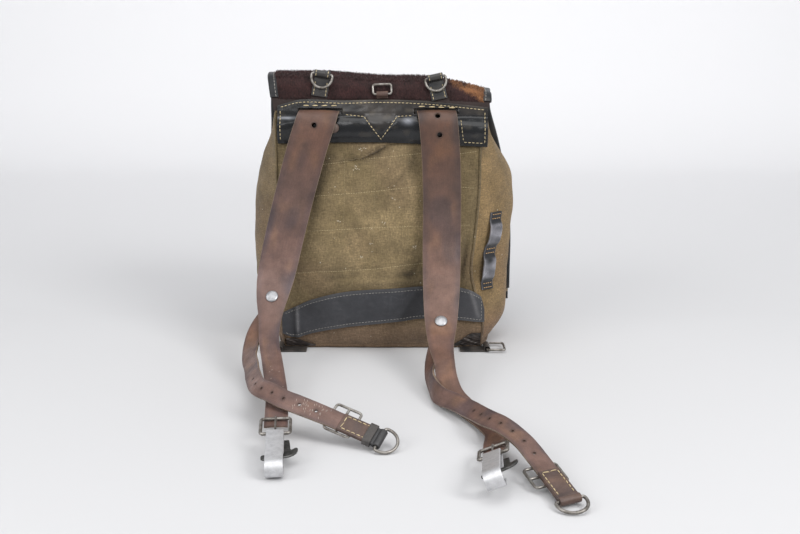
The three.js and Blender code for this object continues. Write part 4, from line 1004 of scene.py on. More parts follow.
def hair_tone(x, y, z, pick):
    """Chocolate brown with darker and redder clouds, and on the upper right a ginger wedge that widens
    as it runs down to the edge."""
    cloud = 0.5 + 0.3 * ripple(x, y + z, 26, 41) + pick.normal(0, 0.22, len(x))
    brown = blend_of((0.0105, 0.0040, 0.0037), (0.044, 0.0165, 0.0155), np.clip(cloud, 0, 1))
    along = np.clip((x - 76) / 38, 0, 1)
    aside = np.abs(z - 314 + 13.5 * along) - 1.5 - 6.5 * along
    aside = aside + 2.0 * ripple(x, z, 12, 42) + pick.normal(0, 1.0, len(x))
    ginger = blend_of((0.110, 0.042, 0.016), (0.250, 0.112, 0.045), np.clip(cloud, 0, 1))
    return blend_of(brown, ginger, step(2.5, -2.5, aside) * step(75, 80, x) * step(15, -15, y))


def grow(name, count, first, last, reach, seed, stand=(0.25, 0.75)):
    """Blades rooted at random over part of the flap. Each follows root + nap * length * q, lifted by
    a curve that rises and falls, and narrows from root to tip. A spot is kept as often as its patch of
    the sheet is large, so the hair is even; beneath the tabs none grows."""
    pick = np.random.default_rng(seed)
    place, s = pick.uniform(first, last, 4 * count), pick.uniform(-0.945, 0.945, 4 * count)
    down = flap_skin(place + 0.02, s) - flap_skin(place - 0.02, s)
    across = flap_skin(place, s + 0.01) - flap_skin(place, s - 0.01)
    size = np.linalg.norm(np.cross(down, across), axis=-1)
    keep = pick.uniform(0, size.max(), len(size)) < size
    root_x, _, root_z = flap_skin(place, s).T
    for tab_x, lean, half, top in BARE_SPOTS:
        keep &= ~((np.abs(root_x - tab_x - lean * (root_z - 299)) < half) & (root_z < top) & (place < 3))
    place, s = place[keep][:count], s[keep][:count]
    root, look = flap_skin(place, s), flap_look(place, s)
    nap = unit(flap_skin(place + 0.05, s) - flap_skin(place - 0.05, s))
    swirl = 0.45 * ripple(root[:, 0], root[:, 1] + root[:, 2], 45, 43) + pick.normal(0, 0.32, len(root))
    nap = unit(nap * np.cos(swirl)[:, None] + np.cross(look, nap) * np.sin(swirl)[:, None])
    side = unit(np.cross(nap, look) + look * pick.normal(0, 0.3, (len(root), 1)))
    long = reach * pick.uniform(0.6, 1.2, len(root))[:, None, None]
    lift = pick.uniform(*stand, len(root))[:, None, None]
    q = np.array([0.0, 0.55, 1.0])[:, None]
    spine = root[:, None] + nap[:, None] * (long * q) + look[:, None] * (long * lift * (q - 0.72 * q * q))
    stem, half_width = spine[:, :2], side[:, None] * np.array([0.3, 0.28])[:, None]
    blade = np.concatenate([stem - half_width, stem + half_width, spine[:, 2:]], 1)
    start = (np.arange(len(root)) * 5)[:, None, None]
    quads, tips = np.array([(0, 2, 3, 1)]), np.array([(1, 3, 4)])
    faces = [(quads[None] + start).reshape(-1, 4), (tips[None] + start).reshape(-1, 3)]
    # Each blade is darker at its root, painted shade among the hairs, and lighter at its tip.
    shade = np.array([0.55, 1.05, 0.55, 1.05, 1.35])[:, None]
    tone = (hair_tone(*root.T, pick)[:, None] * shade).reshape(-1, 3)
    shape = blade.reshape(-1, 3), faces
    make_piece(name, shape, HAIR, "hide", closed=False, tone=painted(tone, len(tone)))


grow("hair_back", 30000, first=0.82, last=3.4, reach=5.5, seed=51)
grow("hair_top", 34000, first=3.4, last=7.6, reach=6.5, seed=52)
grow("hair_crest", 7000, first=2.6, last=4.6, reach=4.2, seed=55, stand=(1.2, 3.0))
grow("hair_far_upper", 34000, first=7.6, last=10.3, reach=8.0, seed=53)
grow("hair_far_lower", 34000, first=10.3, last=12.8, reach=8.0, seed=54)

# %% [markdown]
# ## Yoke, band and side loops
# The yoke is black leather sewn over a roll of padding that keeps the straps off the shoulder blades.
# Its surface is a height over the canvas: the padding's profile, less a long crease, the stitched V
# and the two slits where the straps go in. A cloth simulation would puff it, but the roll is stiff
# and its shape is known, so a formula is steadier. The band and loops are flat leather on the canvas.

# %% The yoke
YOKE_EDGES = table(
    "x top bottom", (-119.5, 291.5, 248), (-92, 298, 249), (-45, 297, 250), (0, 298, 250), (50, 296, 248),
    (120, 289, 244),
)
YOKE_PADDING = table(
    "part rise", (0, 2.6), (0.14, 7.2), (0.34, 9.2), (0.5, 8.5), (0.62, 5.4), (0.7, 4.2), (1, 2.6),
)
YOKE_V = np.array([(-42, 281.5), (-20.6, 279.2), (-1.5, 254.5), (16.6, 279.2), (33.5, 280.4)])
SLIT_Z, SLIT_HALF, SLIT_X = 284.9, 2.8, (-70.4, 61.0)


def yoke_level(x, part):
    """The height of a place on the yoke, part 0 at its lower edge and 1 at its upper edge."""
    bottom, top = (follow(YOKE_EDGES, "x", name, x) for name in ("bottom", "top"))
    return bottom + (top - bottom) * part


def yoke_place(x, z):
    """The part that goes with a height."""
    bottom, top = (follow(YOKE_EDGES, "x", name, x) for name in ("bottom", "top"))
    return (z - bottom) / (top - bottom)


def near_line(x, z, line, spacing=1.0):
    """The distance from each place to a drawn line."""
    nearest = np.full(np.shape(x), 1e9)
    for spot in along_line(line, spacing):
        nearest = np.minimum(nearest, (x - spot[0]) ** 2 + (z - spot[1]) ** 2)
    return np.sqrt(nearest)


def yoke_lining(x, part):
    """The face against the canvas."""
    z = yoke_level(x, part)
    y = back_flat(x, np.minimum(z, RIM)) + np.maximum(z - RIM, 0) * 0.2 - 0.5
    return np.stack([x, y, z], -1)


def yoke_skin(x, part):
    """The outer face: the padding's rise, less the crease along its top, the V, and the two slits,
    and a few puckers across the roll."""
    points = yoke_lining(x, part)
    z = points[..., 2]
    rise = follow(YOKE_PADDING, "part", "rise", part)
    beside_v = 1 - step(-26, -18, x) * step(22, 14, x)
    rise = rise - 1.3 * beside_v * bell(z, 279.5 + 0.8 * ripple(x, 0 * x, 60, 61), 1.5)
    rise = rise - 0.8 * bell(near_line(x, z, YOKE_V), 0, 1.4)
    pucker = step(0.05, 0.25, part) * step(0.72, 0.5, part)
    rise = rise + pucker * (0.8 * ripple(x, 0.5 * z, 36, 62) + 0.12 * ripple(x, z, 14, 63))
    rise = np.maximum(rise + 0.08 * ripple(x, z, 12, 64), 1.9)
    for slit_x in SLIT_X:
        within = step(SLIT_HALF + 0.5, SLIT_HALF - 0.4, np.abs(z - SLIT_Z))
        slit = step(25.4, 24.2, np.abs(x - slit_x)) * within
        rise = rise * (1 - slit) + 0.5 * slit
    points[..., 1] -= rise
    return points


# %% The yoke's colour and thread
def yoke_colour(x, z, part):
    """Near black: worn to grey above the V and at the right end, rubbed brown in clouds and along the
    upper edge, with a painted highlight outside the left strap and one beside the V."""
    above_v = step(-2, 2, z - np.interp(x, *YOKE_V.T) + ripple(x, z, 14, 65)) * step(256, 290, z)
    places = 0.1 + 0.75 * bell(x, -2, 44) + 0.5 * bell(x, 106, 16)
    worn = above_v * places * (0.7 + 0.3 * ripple(x, z, 24, 66))
    colour = blend_of((0.007, 0.0075, 0.0085), (0.056, 0.047, 0.040), np.clip(worn, 0, 1))
    rubbed = step(0.35, 0.95, ripple(x, z * 1.5, 22, 67)) * 0.5 + step(0.93, 1.0, part) * 0.4
    colour = blend_of(colour, (0.085, 0.070, 0.050), np.clip(rubbed * (0.3 + 0.7 * worn), 0, 1))
    # Painted highlights: pale blue-grey patches where the roll would catch the lamps.
    painted_gleam = 0.6 * bell(x, -108, 10) * bell(z, 277.6, 1.5) + 0.55 * bell(x, 29, 6) * bell(z, 274.5, 3.5)
    return blend_of(colour, (0.26, 0.27, 0.30), painted_gleam)


yoke_x, yoke_part = np.meshgrid(np.linspace(-119.5, 120, 241), np.linspace(0, 1, 65))
yoke_outer = yoke_skin(yoke_x, yoke_part)
yoke_tone = both_faces(yoke_colour(yoke_x, yoke_outer[..., 2], yoke_part))
yoke = make_piece(
    "yoke_padding", wall(yoke_outer, yoke_lining(yoke_x, yoke_part)), POLISHED_LEATHER, "black_leather",
    stands_for="yoke", bevel=0.5, tone=yoke_tone,
)


def yoke_row(row):
    """A row drawn as (x, z) on the yoke, as points and normals."""
    x, z = along_line(row, 1.0).T
    return on_surface(yoke_skin, x, yoke_place(x, z), (0, -1, 0), du=0.4, dv=0.01)


yoke_top = [(x, float(yoke_level(x, 1.0)) - 3.2) for x in range(-116, 118, 4)]
yoke_rows = [
    yoke_top,
    YOKE_V,
    [(-116, 253), (-116, 286)],
    [(116.5, 249), (116.5, 284)],
    [(89, 276), (90.5, 262), (92, 252)],
    [(92, 250.5), (115, 249)],
]
slit_rows = [[(-92, 291.4), (-49, 291.2)], [(39, 290.6), (84, 288.6)]]
sew("yoke_thread", map(yoke_row, yoke_rows), CREAM_THREAD, "black_leather", length=3.0, gap=1.3, thick=0.85)
sew("slit_thread", map(yoke_row, slit_rows), CREAM_THREAD, "black_leather", length=5.2, gap=4.4, thick=1.3)

# %% The band low on the back
BAND_EDGES = table(
    "x top bottom", (-121, 46, 20), (-106, 54, 15), (-83, 65, 22), (-41, 76, 30.5), (20, 80.5, 38),
    (46, 82, 41.5), (92, 78, 38), (116, 66, 35), (121, 50, 34.5),
)


def band_skin(x, part, rise=LEATHER):
    """The band's outer face: a height over the canvas, with a gentle ripple and a fold near its left
    end. Past a seam it bends back along the bag's side."""
    bottom, top = (follow(BAND_EDGES, "x", name, x) for name in ("bottom", "top"))
    z = bottom + (top - bottom) * part
    fold = 1.4 * bell(x, -107, 2.4) - 1.6 * bell(x, -102, 3.0) - 1.2 * bell(x, 109, 6)
    fold = fold + 0.7 * bell(x, 6 + 0.1 * (z - 55), 1.4)
    wave = 0.35 * ripple(x, z, 26, 71) + 0.15 * ripple(x, z, 9, 72)
    size = {name: follow(BODY, "z", name, z) for name in BODY}
    past = np.maximum(size["left"] - x, 0) / size["swell_left"]
    past = past + np.maximum(x - size["right"], 0) / size["swell_right"]
    y = back_flat(x, z) + (size["front"] - size["back"]) * past / 4
    return np.stack([x, y - 0.9 - rise - (wave - fold if rise else 0), z], -1)


def band_colour(x, z, part):
    """Black gone grey: paler along both edges and in scuffs, darker right of a leaning line, painted
    shade in the left fold, and a painted highlight on the fold at each end."""
    rim = np.minimum(part, 1 - part)
    scuff = step(0.2, 0.9, ripple(x, z * 2, 20, 73)) * 0.12 + step(0.12, 0.0, rim) * 0.45
    pale = np.clip(scuff + 0.15 * ripple(x, 3 * part, 70, 74), 0, 1)
    colour = blend_of((0.036, 0.037, 0.042), (0.085, 0.084, 0.088), pale)
    edge_x = 18 + 0.56 * (z - 40)
    # Darker right of a leaning line, and painted shade in the left fold.
    shade = 0.35 * step(-2, 3, x - edge_x) * step(70, 45, x) + 0.3 * bell(x, -107, 3)
    # Painted highlights on the fold at each end.
    painted_glint = 0.6 * bell(x, -102, 1.8) + 0.5 * bell(x, 108 - 0.3 * (z - 60), 2.5)
    painted_glint = np.clip(painted_glint, 0, 1) * step(0.06, 0.3, part)
    return blend_of(colour * (1 - shade)[..., None], (0.17, 0.165, 0.17), painted_glint)


band_x, band_part = np.meshgrid(np.linspace(-121, 121, 211), np.linspace(0, 1, 35))
band_outer = band_skin(band_x, band_part)
band_tone = both_faces(band_colour(band_x, band_outer[..., 2], band_part))
make_piece(
    "band", wall(band_outer, band_skin(band_x, band_part, 0)), GREY_LEATHER, "black_leather",
    stands_for="lower_band", bevel=0.45, tone=band_tone,
)


def band_row(x, part):
    """A row along the band, as points and normals."""
    x, part = np.broadcast_arrays(np.asarray(x, float), np.asarray(part, float))
    return on_surface(band_skin, x, part, (0, -1, 0), du=0.4, dv=0.02)


band_run = np.linspace(-117, 117, 210)
band_rows = [band_row(band_run, 0.91), band_row(band_run, 0.09), band_row(117.0, np.linspace(0.1, 0.9, 30))]
sew("band_thread", band_rows, PALE_THREAD, "black_leather", length=2.6, gap=1.2, thick=0.55)

# %% The loops on the sides
LOOP_LIFT = table(
    "z lift", (73, 0), (82, 0), (90, 4.4), (108, 4.4), (116, 0), (124, 0), (132, 4.4), (149, 4.4), (157, 0),
    (166, 0),
)
LOOP_WIDTH, LOOP_FOOT, LOOP_HEAD = 17.0, 73, 166
LOOP_SEWN = (75.5, 80.5, 117.5, 122.5, 158.5, 163.5)


def loop_skin(side, part, z, over=LEATHER):
    """A strip up the side that lifts off in two loops: the side wall's own point at that place, moved
    out by the lift and the leather's thickness."""
    up = (z - LOOP_FOOT) / (LOOP_HEAD - LOOP_FOOT)
    place = 0.09 + 0.05 * up if side > 0 else 0.78 + 0.04 * up
    near = side_plain(side, place + 0.01, z) - side_plain(side, place - 0.01, z)
    per_mm = 0.02 / np.linalg.norm(near, axis=-1)
    t = place + part * LOOP_WIDTH * per_mm
    point, look = on_surface(lambda u, v: side_plain(side, u, v), t, z, (side, -1, 0), du=0.01, dv=1.0)
    lift = np.maximum(follow(LOOP_LIFT, "z", "lift", z), 0)
    return point + look * (GAP + lift + over + 0.12 * ripple(part * LOOP_WIDTH, z, 12, 75))[..., None]


for side, side_name in ((-1, "left"), (1, "right")):
    part, z = np.meshgrid(np.linspace(-0.5, 0.5, 19), np.linspace(LOOP_FOOT, LOOP_HEAD, 95))
    # Painted highlight on the raised parts of the loops; both edges are paler too.
    painted_highlight = 0.85 * step(1.5, 4.2, follow(LOOP_LIFT, "z", "lift", z))
    painted_highlight = painted_highlight * (0.6 + 0.4 * ripple(part * 20, z, 16, 76))
    pale = np.clip(painted_highlight + 0.4 * step(0.43, 0.5, np.abs(part)), 0, 1)
    tone = both_faces(blend_of((0.018, 0.019, 0.022), (0.27, 0.265, 0.29), pale))
    shape = wall(loop_skin(side, part, z), loop_skin(side, part, z, 0.0))
    make_piece(
        f"side_strip_{side_name}", shape, BLACK_LEATHER, "black_leather",
        stands_for=f"side_loop_{side_name}", bevel=0.45, tone=tone,
    )
    across, skin = np.linspace(-0.4, 0.4, 14), lambda p, v: loop_skin(side, p, v)
    rows = [on_surface(skin, across, z + 0 * across, (side, -1, 0), du=0.03, dv=0.5) for z in LOOP_SEWN]
    thread_name = f"side_strip_thread_{side_name}"
    sew(thread_name, rows, TAN_THREAD, "black_leather", length=2.4, gap=0.9, thick=0.95)

# %% [markdown]
# ## The straps
# A strap is a flat strip with a direction at every point: its middle follows a spline through a few
# measured places, and each place also says how wide it is and which way its face looks. The grid is
# bent round each punched hole, square to round, and the cells inside are left out, so the holes are
# real. Brown leather: purple-grey where it was handled, orange where the surface has worn through,
# and on the left straps pale scuffs, made like lint as short strokes on the face.

# %% Strap tables
ROW = "x y z width tilt turn"
SHOULDER = {
    "left": table(
        ROW,
        (-70.4, -60, 285.4, 44.5, 88, 0), (-71.5, -66, 284.6, 44.5, 70, 0),
        (-73.8, -72.5, 278, 44.5, 25, 0), (-83.1, -75, 250.7, 44.5, 6, 0),
        (-95.5, -76, 208.6, 44.5, 4, 0), (-106.5, -77, 168.3, 44.5, 6, 0), (-115, -80, 134, 44.5, 10, -2),
        (-122.3, -88, 100.7, 43.5, 24, -4), (-125.8, -102, 78.3, 36.5, 38, -4),
        (-126.3, -122, 59.3, 26, 50, 0), (-124.2, -152, 43, 22, 64, 6), (-116.7, -188, 32.1, 22, 76, 0),
        (-108.9, -228, 24.5, 22, 82, 0), (-101.9, -272, 23.5, 22, 86, 0), (-96.9, -316, 23, 22, 86, 0),
        (-94.7, -340, 20, 22, 84, 0),
    ),
    "right": table(
        ROW,
        (61, -59.5, 285.4, 43.5, 88, 0), (61.5, -66, 284.6, 43.5, 70, 0), (62.7, -72.5, 278, 43.5, 25, 0),
        (65.4, -75, 250.7, 43.5, 6, 0), (67.5, -77, 208.9, 43.5, 4, 0), (67.9, -81, 169.3, 43.5, 8, 0),
        (67.6, -88, 130.2, 43.5, 14, 0), (67.1, -104, 93, 42, 26, 0), (65.7, -134, 58.2, 36, 42, 0),
        (64.8, -164, 43, 28, 55, 0), (66.8, -192, 33.8, 22.6, 62, -4), (69, -218, 22.4, 22, 60, -16),
        (74, -238, 13, 22, 62, -30), (84, -258, 8, 22, 68, -38), (96, -281, 6.5, 22, 72, -40),
        (106, -306, 6.8, 22, 70, -38), (110, -331, 8.5, 22, 66, -34), (106.5, -356, 9, 22, 62, -38),
        (103.5, -383, 13, 21.4, 58, -44),
    ),
}
NARROW = {
    "left": table(
        ROW,
        (-141, -127, 48, 19, 48, -20), (-144.5, -148, 37.5, 19, 52, -34),
        (-142.5, -178, 31.5, 19, 46, -50), (-136, -208, 31.5, 19, 42, -54), (-131, -235, 32, 19, 42, -46),
        (-119, -276, 34.5, 19, 44, -32), (-104.8, -294.6, 36, 19, 46, -22),
        (-90.7, -310, 35, 19, 48, -14), (-76.3, -318, 32.8, 19, 50, -8), (-60.8, -325, 29.4, 19, 54, -4),
        (-46.9, -330.7, 25.8, 19, 58, 0), (-35, -334.8, 22, 19, 60, 0),
    ),
    "right": table(
        ROW,
        (57, -168, 29.5, 19, 44, -34), (51.4, -194, 20.2, 19, 24, -78), (53.2, -217, 14.8, 19, 16, -88),
        (60.5, -244, 13.2, 19, 34, -66), (74, -266, 15.3, 19, 48, -42), (88, -292, 17.5, 19, 48, -36),
        (101, -330, 24, 19, 52, -26), (115, -356, 26.5, 19, 58, -8), (129, -381, 23, 19, 60, 4),
        (139, -404, 16.7, 19, 58, 8), (145, -422, 13.3, 19, 58, 8),
    ),
}
SHOULDER_HOLES = {"left": (24.0,), "right": (13.0, 34.6)}
RIVET_ROW, STRAP_CLEAR, PUNCH, SMALL_PUNCH = 8, 0.6, 3.0, 1.45
NARROW_WIDTH, NARROW_HOLES, FIRST_HOLE, HOLE_GAP = 19.0, 7, 26, 18
STRAP_SEED, NARROW_SEED = {"left": 81, "right": 91}, {"left": 85, "right": 95}
STRAP_TOP, NARROW_TOP = {"left": 0.60, "right": 0.50}, 0.8
STRAP_TINT = {"left": (1, 1, 1), "right": (0.97, 0.91, 0.82)}
Strap = namedtuple("Strap", "length stations at_row")
print("strap rows:", {name: len(rows["x"]) for name, rows in SHOULDER.items()})


# %% A strap's line
def strap_line(rows):
    """A strap's length, a function from distance to (middle, across, along, face, width), and one from
    a row's number to its distance. The middle is a centripetal spline: knots are spaced by the square
    root of the gaps between rows."""
    p = np.stack([rows["x"], rows["y"], rows["z"]], 1)
    ends = np.concatenate([[2 * p[0] - p[1]], p, [2 * p[-1] - p[-2]]])
    x0, x1, x2, x3 = ends[:-3], ends[1:-2], ends[2:-1], ends[3:]
    knot = np.linalg.norm(np.diff(ends, axis=0), axis=1)[:, None] ** 0.5
    d0, d1, d2 = knot[:-2], knot[1:-1], knot[2:]
    t1 = ((x1 - x0) / d0 - (x2 - x0) / (d0 + d1) + (x2 - x1) / d1) * d1
    t2 = ((x2 - x1) / d1 - (x3 - x1) / (d1 + d2) + (x3 - x2) / d2) * d1
    c2, c3 = -3 * x1 + 3 * x2 - 2 * t1 - t2, 2 * x1 - 2 * x2 + t1 + t2
    numbered = dict(rows, number=np.arange(len(p), dtype=float))

    def middle(place):
        """The cubic of a place's own span, and its slope."""
        i = np.clip(place.astype(int), 0, len(p) - 2)
        w = (place - i)[..., None]
        return x1[i] + t1[i] * w + c2[i] * w**2 + c3[i] * w**3, t1[i] + 2 * c2[i] * w + 3 * c3[i] * w**2

    places = np.linspace(0, len(p) - 1, 3000)
    run = np.concatenate([[0], np.cumsum(np.linalg.norm(np.diff(middle(places)[0], axis=0), axis=1))])

    def stations(distance):
        """The face looks up by the tilt and aside by the turn, then is squared to the line."""
        place = np.interp(distance, run, places)
        origin, along = middle(place)
        along = unit(along)
        tilt, turn = (np.radians(follow(numbered, "number", name, place)) for name in ("tilt", "turn"))
        facing = np.stack([np.cos(tilt) * np.sin(turn), -np.cos(tilt) * np.cos(turn), np.sin(tilt)], -1)
        across = unit(np.cross(along, facing))
        return origin, across, along, np.cross(across, along), follow(numbered, "number", "width", place)

    return Strap(run[-1], stations, lambda row: float(np.interp(row, places, run)))


def rows_under(stations, at):
    """Three rows that hold a second strap flat under the first, round the rivet."""
    origin, _, _, face, _ = stations(at + np.array([-11.0, 0.0, 11.0]))
    spot = origin - face * (LEATHER + STRAP_CLEAR)
    tilt, turn = np.degrees(np.arcsin(face[:, 2])), np.degrees(np.arctan2(face[:, 0], -face[:, 1]))
    return dict(zip(ROW.split(), [*spot.T, np.full(3, NARROW_WIDTH), tilt, turn]))


# %% A strap's colours
def strap_tone(c, d, width, seed, holes, top):
    """Broad colours of strap leather over its width c and length d: brown, purple-grey along the
    edges and in clouds, orange-brown where the grain has worn, darker towards the top and round the
    holes, and a pale cut edge."""
    brown, plum = (0.142, 0.080, 0.063), (0.076, 0.050, 0.051)
    tan, cut = (0.182, 0.101, 0.067), (0.250, 0.185, 0.135)
    edge = np.abs(c) / (width / 2)
    tone = blend_of(brown, tan, 0.85 * step(0.1, 0.8, ripple(c, d, 42, seed)) * step(1.0, 0.5, edge))
    plum_share = 0.7 * step(0.1, 0.9, ripple(1.4 * c, d, 60, seed + 1)) + 0.5 * step(0.55, 0.98, edge)
    plum_share = plum_share + 0.15 * step(0.4, 1, ripple(c, d, 14, seed + 2))
    shade = top + (1 - top) * step(70, 190, d + 20 * ripple(c, d, 40, seed + 3))
    for at, radius in holes:
        shade = shade * (1 - 0.5 * bell(np.maximum(np.hypot(c, d - at) - radius, 0), 0, 1.3))
    tone = blend_of(tone, plum, np.clip(plum_share, 0, 1)) * shade[..., None]
    tone = tone * blend_of((1.16, 1.0, 0.84), (1, 1, 1), step(30, 110, d))
    return blend_of(tone, cut, 0.8 * step(0.985, 1.0, edge))


# %% A strap's grid and faces
def strap_grid(length, width_at, holes, columns, spacing):
    """Places over a strap, as distance and share of the width, drawn round each hole: close to a hole
    the square rings of the grid become circles, and further out they fade back to the grid."""
    anchors = np.concatenate([[0], np.sort([at for at, _ in holes]), [length]])
    runs = []
    for a, b in zip(anchors[:-1], anchors[1:]):
        runs.append(np.linspace(a, b, max(int(round((b - a) / spacing)), 1) + 1)[:-1])
    d = np.concatenate(runs + [[length]])
    share = np.concatenate([[-0.5, -0.487], np.linspace(-0.44, 0.44, columns), [0.487, 0.5]])
    along, part = np.meshgrid(d, share, indexing="ij")
    c = part * width_at(along)
    keep = np.ones((len(d) - 1, len(share) - 1), bool)
    new_d, new_c = along.copy(), c.copy()
    middle, fade_end = len(share) // 2, 3.2
    for at, radius in holes:
        row = int(np.argmin(np.abs(d - at)))
        a = max(d[row + 1] - d[row], d[row] - d[row - 1])
        column_gap = float(np.diff(c[row])[middle])
        many = max(int(round(radius / column_gap)), 1)
        b = many * column_gap
        p, q = along - at, c
        e = np.maximum(np.maximum(np.abs(p) / a, np.abs(q) / b), 1e-6)
        far = np.hypot(p, q) + 1e-9
        fade = step(1.0, fade_end, e)
        near, drawn = e < fade_end, radius * e / far * (1 - fade) + fade
        new_d = np.where(near, at + p * drawn, new_d)
        new_c = np.where(near, q * drawn, new_c)
        keep[row - 1 : row + 1, middle - many : middle + many] = False
    return new_d, new_c, keep


def strap_slack(c, d, width, seed):
    """How far a strap stands off its line: slack ripples, and a bow that drops both edges."""
    return 0.35 * ripple(c, d, 55, seed + 5) * step(0, 40, d) - 0.7 * (2 * c / width) ** 2


def strap_piece(name, line, holes, seed, columns, spacing, node, top, tint=(1, 1, 1)):
    """A strap: both faces of its leather over the grid of places, with a pressed line near each edge,
    slack ripples that move both faces, and a fine unevenness on the outer, grain side."""
    d, c, keep = strap_grid(line.length, lambda at: line.stations(at)[4], holes, columns, spacing)
    origin, across, _, face, width = line.stations(d)
    slack = strap_slack(c, d, width, seed)
    line_depth = 0.3 * bell(np.abs(c), width / 2 - 2.6, 0.5)
    rough = 0.12 * ripple(c, d, 8, seed + 6)
    middle = origin + across * c[..., None]
    outer = middle + face * (LEATHER / 2 + slack - line_depth + rough)[..., None]
    inner = middle + face * (slack - LEATHER / 2)[..., None]
    grain = strap_tone(c, d, width, seed, holes, top) * tint
    flesh = blend_of((0.12, 0.075, 0.05), (0.19, 0.13, 0.09), 0.5 + 0.5 * ripple(c, d, 20, seed + 7))
    tone = np.concatenate([painted(colour.reshape(-1, 3), d.size) for colour in (grain, flesh)])
    lie = np.tile(np.stack([c, d, 0 * c], -1).reshape(-1, 3), (2, 1))
    make_piece(
        name, wall(outer, inner, keep), STRAP_LEATHER, "strap_leather", stands_for=node, bevel=0.4,
        tone=tone, lie=lie,
    )


# %% The four straps
shoulder_lines, narrow_lines, rivet_at = {}, {}, {}
for side_name in ("left", "right"):
    shoulder = strap_line(SHOULDER[side_name])
    shoulder_lines[side_name], rivet_at[side_name] = shoulder, shoulder.at_row(RIVET_ROW)
    holes = [(at, PUNCH) for at in SHOULDER_HOLES[side_name]]
    strap_piece(
        f"carrying_strap_{side_name}", shoulder, holes, STRAP_SEED[side_name], columns=19, spacing=2.1,
        node=f"shoulder_strap_{side_name}", top=STRAP_TOP[side_name], tint=STRAP_TINT[side_name],
    )
    under = rows_under(shoulder.stations, rivet_at[side_name])
    narrow = strap_line({name: np.concatenate([under[name], NARROW[side_name][name]]) for name in under})
    narrow_lines[side_name] = narrow
    holes = [(narrow.length - FIRST_HOLE - HOLE_GAP * i, SMALL_PUNCH) for i in range(NARROW_HOLES)]
    strap_piece(
        f"narrow_strap_{side_name}", narrow, holes, NARROW_SEED[side_name], columns=17, spacing=2.25,
        node=f"side_strap_{side_name}", top=NARROW_TOP,
    )
    print(side_name, "strap lengths:", round(float(shoulder.length), 1), round(float(narrow.length), 1))


# %% Scuffs
def scuff_row(line, d, c, seed):
    """A short pale stroke on a strap's outer face, d along the strap and c across it."""
    origin, across, _, face, width = line.stations(d)
    off = LEATHER / 2 + strap_slack(c, d, width, seed)
    return origin + across * c[:, None] + face * off[:, None], face


pick = np.random.default_rng(21)
stroke = np.linspace(0, 2.7, 5)
scuffs = []
for line, seed, count, before_end, between, slope in (
    (narrow_lines["left"], NARROW_SEED["left"], 34, (14, 50), (-8, 5), (0.4, 1.0)),
    (shoulder_lines["left"], STRAP_SEED["left"], 9, (70, 150), (-8, 6), (0.8, 0.6)),
):
    for back, aside in zip(pick.uniform(*before_end, count), pick.uniform(*between, count)):
        d, c = line.length - back + slope[0] * stroke, aside + slope[1] * stroke
        scuffs.append(scuff_row(line, d, c, seed))
sew("strap_scuffs", scuffs, SCUFF, "strap_leather", length=2.3, gap=0.3, thick=0.5)

# %% [markdown]
# ## Rivets, frames, hooks and rings
# The metal is wire and strip. A wire loop is a circle carried round a flat outline; a rivet is a
# section turned about its axis; a hook is a flat strip carried along a bent path. Each is made in its
# own small frame, whose X, Y and Z run across, along and off the strap, and then put in its seat. A
# leather stud on the yoke is turned like a rivet, and a dark plate is cut to lie under each hook.


# %% Seats
def put(points, seat):
    """Points of a small frame placed in the world: origin + x * X + y * Y + z * Z."""
    return seat[0] + points @ seat[1:]


def shifted(seat, x, y, z):
    """A seat moved along its own directions."""
    return np.array([put(np.array([x, y, z], float), seat), *seat[1:]])


def turned(seat, axis, degrees):
    """A seat turned about its own X (axis 0) or Z (axis 2)."""
    co, si = np.cos(np.radians(degrees)), np.sin(np.radians(degrees))
    origin, x, y, z = seat
    if axis == 0:
        return np.array([origin, x, y * co + z * si, z * co - y * si])
    return np.array([origin, x * co + y * si, y * co - x * si, z])


def strap_seat(line, at):
    """The seat at a distance along a strap."""
    origin, across, along, face, _ = line.stations(np.array([at]))
    return np.array([origin[0], across[0], along[0], face[0]])


def seated(shape, seat):
    """A shape of a small frame, put in its seat."""
    return put(shape[0], seat), shape[1]


# %% Outlines, wire and strip
def round_section(radius, sides=12):
    """A circle as points in order."""
    angle = np.arange(sides) * 2 * np.pi / sides
    return radius * np.stack([np.cos(angle), np.sin(angle)], -1)


def bend(x, y, rx, ry, start, end, steps):
    """Points on part of an ellipse, angles in degrees."""
    angle = np.radians(np.linspace(start, end, steps))
    return np.stack([x + rx * np.cos(angle), y + ry * np.sin(angle)], -1)


def rectangle_outline(width, near, far, corner):
    """A rectangle with round corners, as one closed line."""
    side, low, high = width / 2 - corner, near + corner, far - corner
    corners = ((side, low, -90), (side, high, 0), (-side, high, 90), (-side, low, 180))
    return np.concatenate([bend(x, y, corner, corner, start, start + 90, 7) for x, y, start in corners])


def bow_outline(width, depth):
    """A D: a straight bar on the X axis and a bow that reaches to the depth."""
    half, corner = width / 2, 2.4
    shoulder = max(depth - half, corner + 0.6)
    return np.concatenate([
        bend(half - corner, corner, corner, corner, -90, 0, 6),
        bend(0, shoulder, half, depth - shoulder, 0, 180, 29),
        bend(corner - half, corner, corner, corner, 180, 270, 6),
    ])


def outward(outline):
    """The outward direction at each point of a flat closed outline."""
    ahead = unit(np.roll(outline, -1, 0) - np.roll(outline, 1, 0))
    return np.stack([ahead[:, 1], -ahead[:, 0]], -1)


def at_height(points, z=0.0):
    """Flat points with a third column, their height."""
    return np.insert(points, 2, z, axis=1)


def wire_loop(outline, radius):
    """A round wire carried round a flat closed outline."""
    out = at_height(outward(outline))
    return carried(round_section(radius), at_height(outline), out, upright(len(outline)), ring=True)


def bent_strip(path, width, thickness):
    """A flat strip carried along a path of (y, z), its width across X, with softened edges."""
    ahead = unit(np.gradient(path, axis=0))
    nothing = np.zeros(len(path))
    origin = np.stack([nothing, *path.T], -1)
    off = np.stack([nothing, -ahead[:, 1], ahead[:, 0]], -1)
    across = np.tile([1.0, 0, 0], (len(path), 1))
    return carried(rounded_bar(width, thickness, 0.32 * thickness), origin, across, off)


